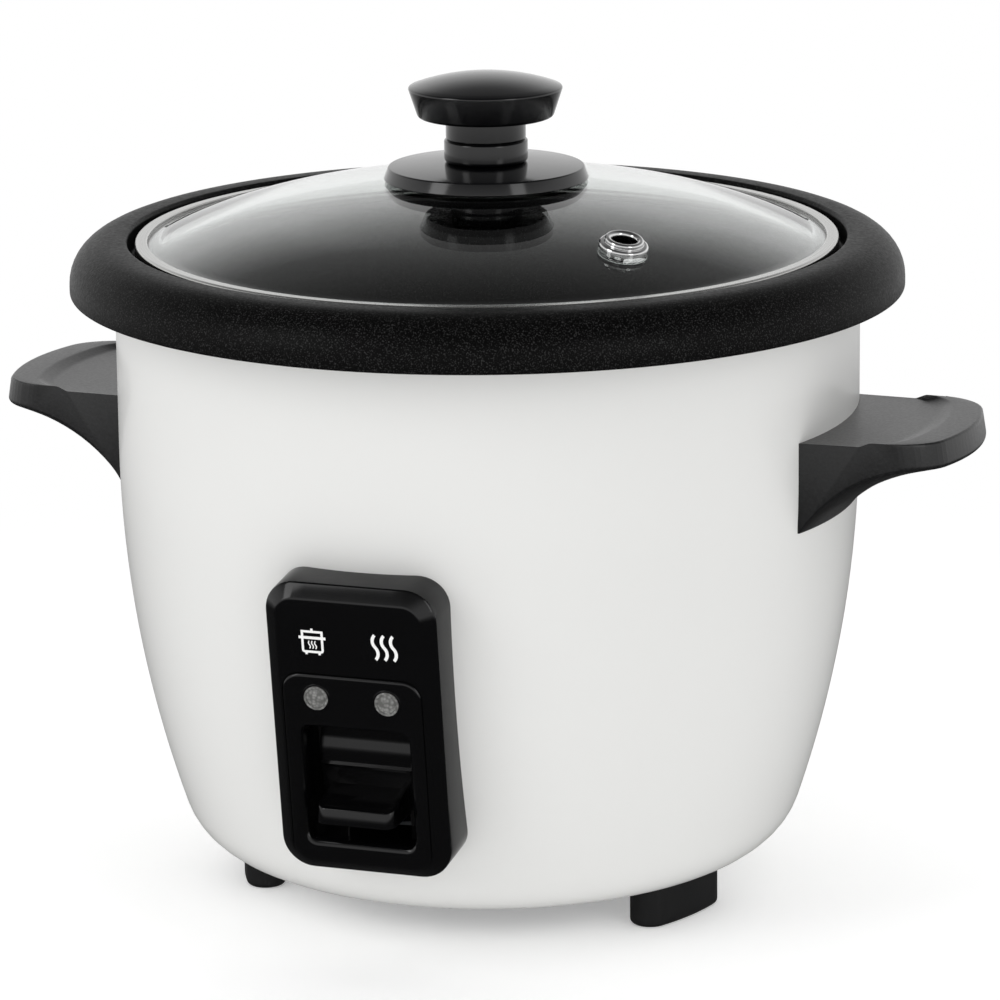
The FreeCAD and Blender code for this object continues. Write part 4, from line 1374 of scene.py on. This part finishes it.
@dataclass
class Handle:
    """A side handle: a shelf with a raised end, a bowed tip and a swept underside."""

    shell: BodyShell
    reach: float = 138.6
    half_width: float = 30.0
    tip_half_width: float = 28.6
    bow: float = 6.5
    corner: float = 9.0
    top: float = 136.6
    bottom: float = 112.0
    lip: float = 1.2
    lip_length: float = 10.0
    lip_run: float = 4.0
    lip_hollow: float = 6.0
    lip_edge: float = 4.0
    tip_thickness: float = 7.0
    tip_draft: float = 1.2
    tip_edge: float = 1.0
    under_run: float = 6.0
    under_drop: float = 1.3
    under_deg: float = 12.0
    throat: float = 4.5
    throat_height: float = 4.5
    sink: float = 0.3
    edge: float = 0.5
    stations: int = 40

    @property
    def root(self) -> float:
        """Radius of the handle's back, just under the shell's paint."""
        return self.shell.radius - self.sink

    def profile(self) -> Section:
        """Draws the handle as seen from the front.

        Returns:
            The closed line.
        """
        tip_top = self.top + self.lip
        tip_low = tip_top - self.tip_thickness
        lip = self.reach - self.lip_length
        under = math.radians(self.under_deg)
        line = Section(self.root, self.bottom)
        line.path((self.root, self.top, 0.0), (lip - self.lip_run, self.top, self.lip_hollow),
                  (lip, tip_top, self.lip_edge), (self.reach - self.tip_draft, tip_top, self.tip_edge),
                  (self.reach, tip_low, self.tip_draft),
                  (self.reach - self.under_run, tip_low - self.under_drop, 0.0))
        line.heading = Vector((-math.cos(under), 0.0, -math.sin(under)))
        line.arc(self.shell.radius + self.throat, self.bottom + self.throat_height)
        return line.arc(self.shell.radius + self.sink, self.bottom).close()

    def tip_at(self, y: float) -> float:
        """Gives the tip's reach at a place across the handle.

        Args:
            y: The place.

        Returns:
            The reach.
        """
        reach = self.reach - self.bow * (y / self.half_width) ** 2
        past = abs(y) - (self.half_width - self.corner)
        if past > 0:
            reach -= self.corner - math.sqrt(max(self.corner ** 2 - past ** 2, 0.0))
        return reach

    def edge_y(self, x: float) -> float:
        """Gives the half width of the handle at a reach."""
        share = (x - self.shell.radius) / (self.reach - self.shell.radius)
        return self.half_width + (self.tip_half_width - self.half_width) * share

    def bow_out(self, bm: Mesh) -> None:
        """Fits the swept profile between the shell and the bowed tip.

        Args:
            bm: The handle's mesh.
        """
        for vert in bm.verts:
            y = vert.co.y
            inner = math.sqrt(self.root ** 2 - y ** 2)
            share = (vert.co.x - self.root) / (self.reach - self.root)
            vert.co.x = inner + share * (self.tip_at(y) - inner)
            vert.co.y = y * self.edge_y(vert.co.x) / self.half_width

    def build(self, side: Side) -> None:
        """Sweeps the profile across the handle and bows its end.

        Args:
            side: Which handle.
        """
        bm = self.profile().bm
        back = front = bmesh.ops.contextual_create(bm, geom=bm.edges[:])["faces"][0]
        bmesh.ops.translate(bm, vec=(0.0, -self.half_width, 0.0), verts=bm.verts[:])
        for i in range(self.stations):
            made = bmesh.ops.extrude_face_region(bm, geom=[front])["geom"]
            front = next(part for part in made if isinstance(part, bmesh.types.BMFace))
            y = -self.half_width * math.cos(math.pi * (i + 1) / self.stations)
            for vert in front.verts:
                vert.co.y = y
        self.bow_out(bm)
        face_out(bm)
        soften(bm, back.edges[:] + front.edges[:], self.edge, segments=3)
        turn = Matrix.Rotation(math.radians(side.value), 3, "Z")
        bmesh.ops.rotate(bm, cent=(0, 0, 0), matrix=turn, verts=bm.verts[:])
        node = f"handle_{side.name.lower()}"
        place_piece(f"{node}_grip", bm, Body.HOUSING, HANDLE_GRAIN, node, crease_deg=32.0)


# Pieces that stay as solids


@dataclass
class SolidPieces:
    """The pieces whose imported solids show: feet, inlet, well, heating plate and switch works."""

    finishes: dict[Finish, tuple[str, ...]] = field(default_factory=lambda: {
        FOOT_BLACK: ("foot_front_left", "foot_front_right", "foot_rear", "power_inlet", "micro_switch",
                     "lamp_holder"),
        ZINC: ("base_plate", "foot_screws", "plate_screws", "heating_element", "thermostat_guide",
               "sensor_spring", "switch_bracket", "pivot_pin", "thermal_fuse", "fuse_clip", "handle_screws",
               "knob_screw", "magnet_rod", "lever_arm"),
        LINER_STEEL: ("inner_liner",),
        PLATE_ALLOY: ("heating_plate", "sensor_cap"),
        CERAMIC: ("terminal_block",),
        LAMP_GLASS: ("cook_lamp", "warm_lamp"),
        BRASS: ("inlet_pins",),
        SILICONE: ("knob_gasket",),
        FERRITE: ("sensor_ferrite", "lift_magnet"),
    })
    weld_mm: float = 0.005
    crease_deg: float = 32.0

    def smoothing(self) -> Tree:
        """Makes the node group that joins a solid's facets and shades its curves smooth.

        Returns:
            The node group.
        """
        tree = bpy.data.node_groups.new("smooth_facets", "GeometryNodeTree")
        for way in ("INPUT", "OUTPUT"):
            tree.interface.new_socket("Geometry", in_out=way, socket_type="NodeSocketGeometry")
        start = add_node(tree, "NodeGroupInput")
        weld = add_node(tree, "GeometryNodeMergeByDistance", {"Distance": self.weld_mm * MM},
                        {"Geometry": start.outputs["Geometry"]})
        soft = add_node(tree, "GeometryNodeSetShadeSmooth", {"domain": "FACE", "Shade Smooth": True},
                        {"Geometry": weld.outputs["Geometry"]})
        angle = add_node(tree, "GeometryNodeInputMeshEdgeAngle")
        sharp = add_node(tree, "FunctionNodeCompare", {
            "data_type": "FLOAT", "operation": "GREATER_THAN", "B": math.radians(self.crease_deg)},
            {"A": angle.outputs["Unsigned Angle"]})
        hard = add_node(tree, "GeometryNodeSetShadeSmooth", {"domain": "EDGE", "Shade Smooth": False},
                        {"Geometry": soft.outputs["Geometry"], "Selection": sharp.outputs["Result"]})
        add_node(tree, "NodeGroupOutput", links={"Geometry": hard.outputs["Geometry"]})
        return tree

    def dress(self) -> None:
        """Gives each solid its finish and smooth curves."""
        smooth = self.smoothing()
        for finish, names in self.finishes.items():
            for name in names:
                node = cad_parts[name]
                node.data.materials.clear()
                node.data.materials.append(finish.material())
                node.modifiers.new("smooth_facets", "NODES").node_group = smooth
                LOG.info("%s: %s", name, finish.name)


# Studio


@dataclass
class Softbox:
    """A rectangular studio light that faces a point, in metres and watts."""

    name: str
    place: Corner
    width: float
    height: float
    power: float
    mirrored: bool = True
    aim: Corner = (0.0, 0.0, 0.1)

    def build(self) -> None:
        """Makes the light."""
        lamp = bpy.data.lights.new(self.name, "AREA")
        lamp.shape = "RECTANGLE"
        lamp.size = self.width
        lamp.size_y = self.height
        lamp.energy = self.power
        light = bpy.data.objects.new(self.name, lamp)
        light.location = self.place
        light.visible_glossy = self.mirrored
        light.visible_transmission = False
        light.rotation_euler = (Vector(self.aim) - Vector(self.place)).to_track_quat("-Z", "Y").to_euler()
        bpy.context.collection.objects.link(light)


@dataclass
class Studio:
    """A white studio: floor, soft lights, surroundings and the camera, in metres and radians."""

    turn_deg: float = 19.4
    distance: float = 1.400
    eye_height: float = 0.46268
    yaw: float = 0.002
    pitch: float = 0.249
    roll: float = -0.0105
    lens: float = 188.23
    sensor: float = 36.0
    view_reach: float = 50.0
    floor_reach: float = 6.0
    floor_colour: str = "#F4F4F4"
    floor_lift: float = 0.30
    # Distances from the cooker between which the floor fades to white, and its reflection from dim to white
    floor_fade: tuple[float, float] = (0.10, 0.45)
    mirror_fade: tuple[float, float] = (0.40, 1.10)
    mirror_dim: float = 0.06
    fill: float = 0.63
    # The sine of the height above the horizon, with the grey that shines there
    sky: Stops = ((0.20, WHITE), (0.36, "#F2F2F2"), (0.60, "#8A8A8A"), (0.90, "#444444"))
    lights: tuple[Softbox, ...] = (
        Softbox("key_softbox", (-0.95, -1.15, 0.95), 0.55, 1.2, 5.2),
        Softbox("fill_softbox", (1.35, -0.85, 0.70), 0.45, 1.1, 2.7),
        Softbox("top_softbox", (0.0, 0.25, 1.7), 1.6, 1.2, 6.8, mirrored=False),
    )

    def build(self) -> None:
        """Sets up the camera, lights, floor, surroundings and view."""
        self.build_camera()
        for light in self.lights:
            light.build()
        self.build_floor()
        self.build_world()
        bpy.context.scene.view_settings.view_transform = "Standard"

    def build_camera(self) -> None:
        """Stands the camera where the photograph was taken from."""
        lens = bpy.data.cameras.new("camera")
        lens.lens = self.lens
        lens.sensor_width = self.sensor
        lens.clip_end = self.view_reach
        camera = bpy.data.objects.new("camera", lens)
        turn = math.radians(self.turn_deg)
        spot = (self.distance * math.sin(turn), -self.distance * math.cos(turn), self.eye_height)
        place = Matrix.Translation(spot)
        for angle, axis in ((turn - self.yaw, "Z"), (math.pi / 2 - self.pitch, "X"), (self.roll, "Z")):
            place = place @ Matrix.Rotation(angle, 4, axis)
        camera.matrix_world = place
        bpy.context.collection.objects.link(camera)
        bpy.context.scene.camera = camera

    def build_floor(self) -> None:
        """Lays the white floor, which keeps the cooker's shadow and fades to white."""
        bm = bmesh.new()
        bmesh.ops.create_circle(bm, cap_ends=True, radius=self.floor_reach, segments=96)
        mesh = bpy.data.meshes.new("floor")
        bm.to_mesh(mesh)
        bm.free()
        paper = bpy.data.materials.new("white_paper_sweep")
        mesh.materials.append(paper)
        tree = blank_tree(paper)
        place = add_node(tree, "ShaderNodeTexCoord").outputs["Object"]
        reach = add_node(tree, "ShaderNodeVectorMath", {"operation": "LENGTH"}, {0: place}).outputs["Value"]
        near, clear = self.floor_fade
        fade = add_node(tree, "ShaderNodeMapRange", {
            "interpolation_type": "SMOOTHSTEP", "From Min": near, "From Max": clear}, {"Value": reach})
        near, clear = self.mirror_fade
        far = add_node(tree, "ShaderNodeMapRange", {
            "From Min": near, "From Max": clear, "To Min": self.mirror_dim}, {"Value": reach})
        white, kind = {"Color": linear(WHITE)}, "ShaderNodeEmission"
        glow = add_node(tree, kind, {**white, "Strength": 1.0}).outputs[0]
        lift = add_node(tree, kind, {**white, "Strength": self.floor_lift}).outputs[0]
        mirror = add_node(tree, kind, white, {"Strength": far.outputs["Result"]}).outputs[0]
        lit = add_node(tree, "ShaderNodeBsdfDiffuse", {"Color": linear(self.floor_colour)}).outputs[0]
        bright = add_node(tree, "ShaderNodeAddShader", links={0: lit, 1: lift}).outputs[0]
        seen = add_node(tree, "ShaderNodeMixShader", links={
            "Fac": fade.outputs["Result"], 1: bright, 2: glow}).outputs[0]
        shown = mix_by_ray(tree, bright, ("Is Camera Ray", seen), ("Is Glossy Ray", mirror))
        add_node(tree, "ShaderNodeOutputMaterial", links={"Surface": shown})
        floor = bpy.data.objects.new("floor", mesh)
        bpy.context.collection.objects.link(floor)

    def build_world(self) -> None:
        """Makes the surroundings: white to the camera, and in reflections white low down, dark overhead."""
        world = bpy.data.worlds.new("white_studio")
        bpy.context.scene.world = world
        tree = blank_tree(world)
        ways = add_node(tree, "ShaderNodeTexCoord").outputs["Generated"]
        parts = add_node(tree, "ShaderNodeSeparateXYZ", links={"Vector": ways})
        ramp = add_node(tree, "ShaderNodeValToRGB", links={"Fac": parts.outputs["Z"]})
        set_stops(ramp, self.sky)
        white, kind = {"Color": linear(WHITE)}, "ShaderNodeBackground"
        fill = add_node(tree, kind, {**white, "Strength": self.fill}).outputs[0]
        plain = add_node(tree, kind, {**white, "Strength": 1.0}).outputs[0]
        around = add_node(tree, kind, {"Strength": 1.0}, {"Color": ramp.outputs["Color"]}).outputs[0]
        seen = mix_by_ray(tree, fill, ("Is Glossy Ray", around), ("Is Transmission Ray", around),
                          ("Is Camera Ray", plain))
        add_node(tree, "ShaderNodeOutputWorld", links={"Surface": seen})


def main() -> None:
    """Builds the cooker's pieces in order, then its studio."""
    logging.basicConfig(level=logging.INFO, format="%(name)s %(message)s")
    shell = BodyShell()
    panel = ControlPanel(shell)
    for part in (shell, CookingPot(), Lid(), Knob(), panel, Paddle(panel), Signs(panel)):
        part.build()
    handle = Handle(shell)
    for side in Side:
        handle.build(side)
    SolidPieces().dress()
    Studio().build()


if __name__ == "__main__":
    main()
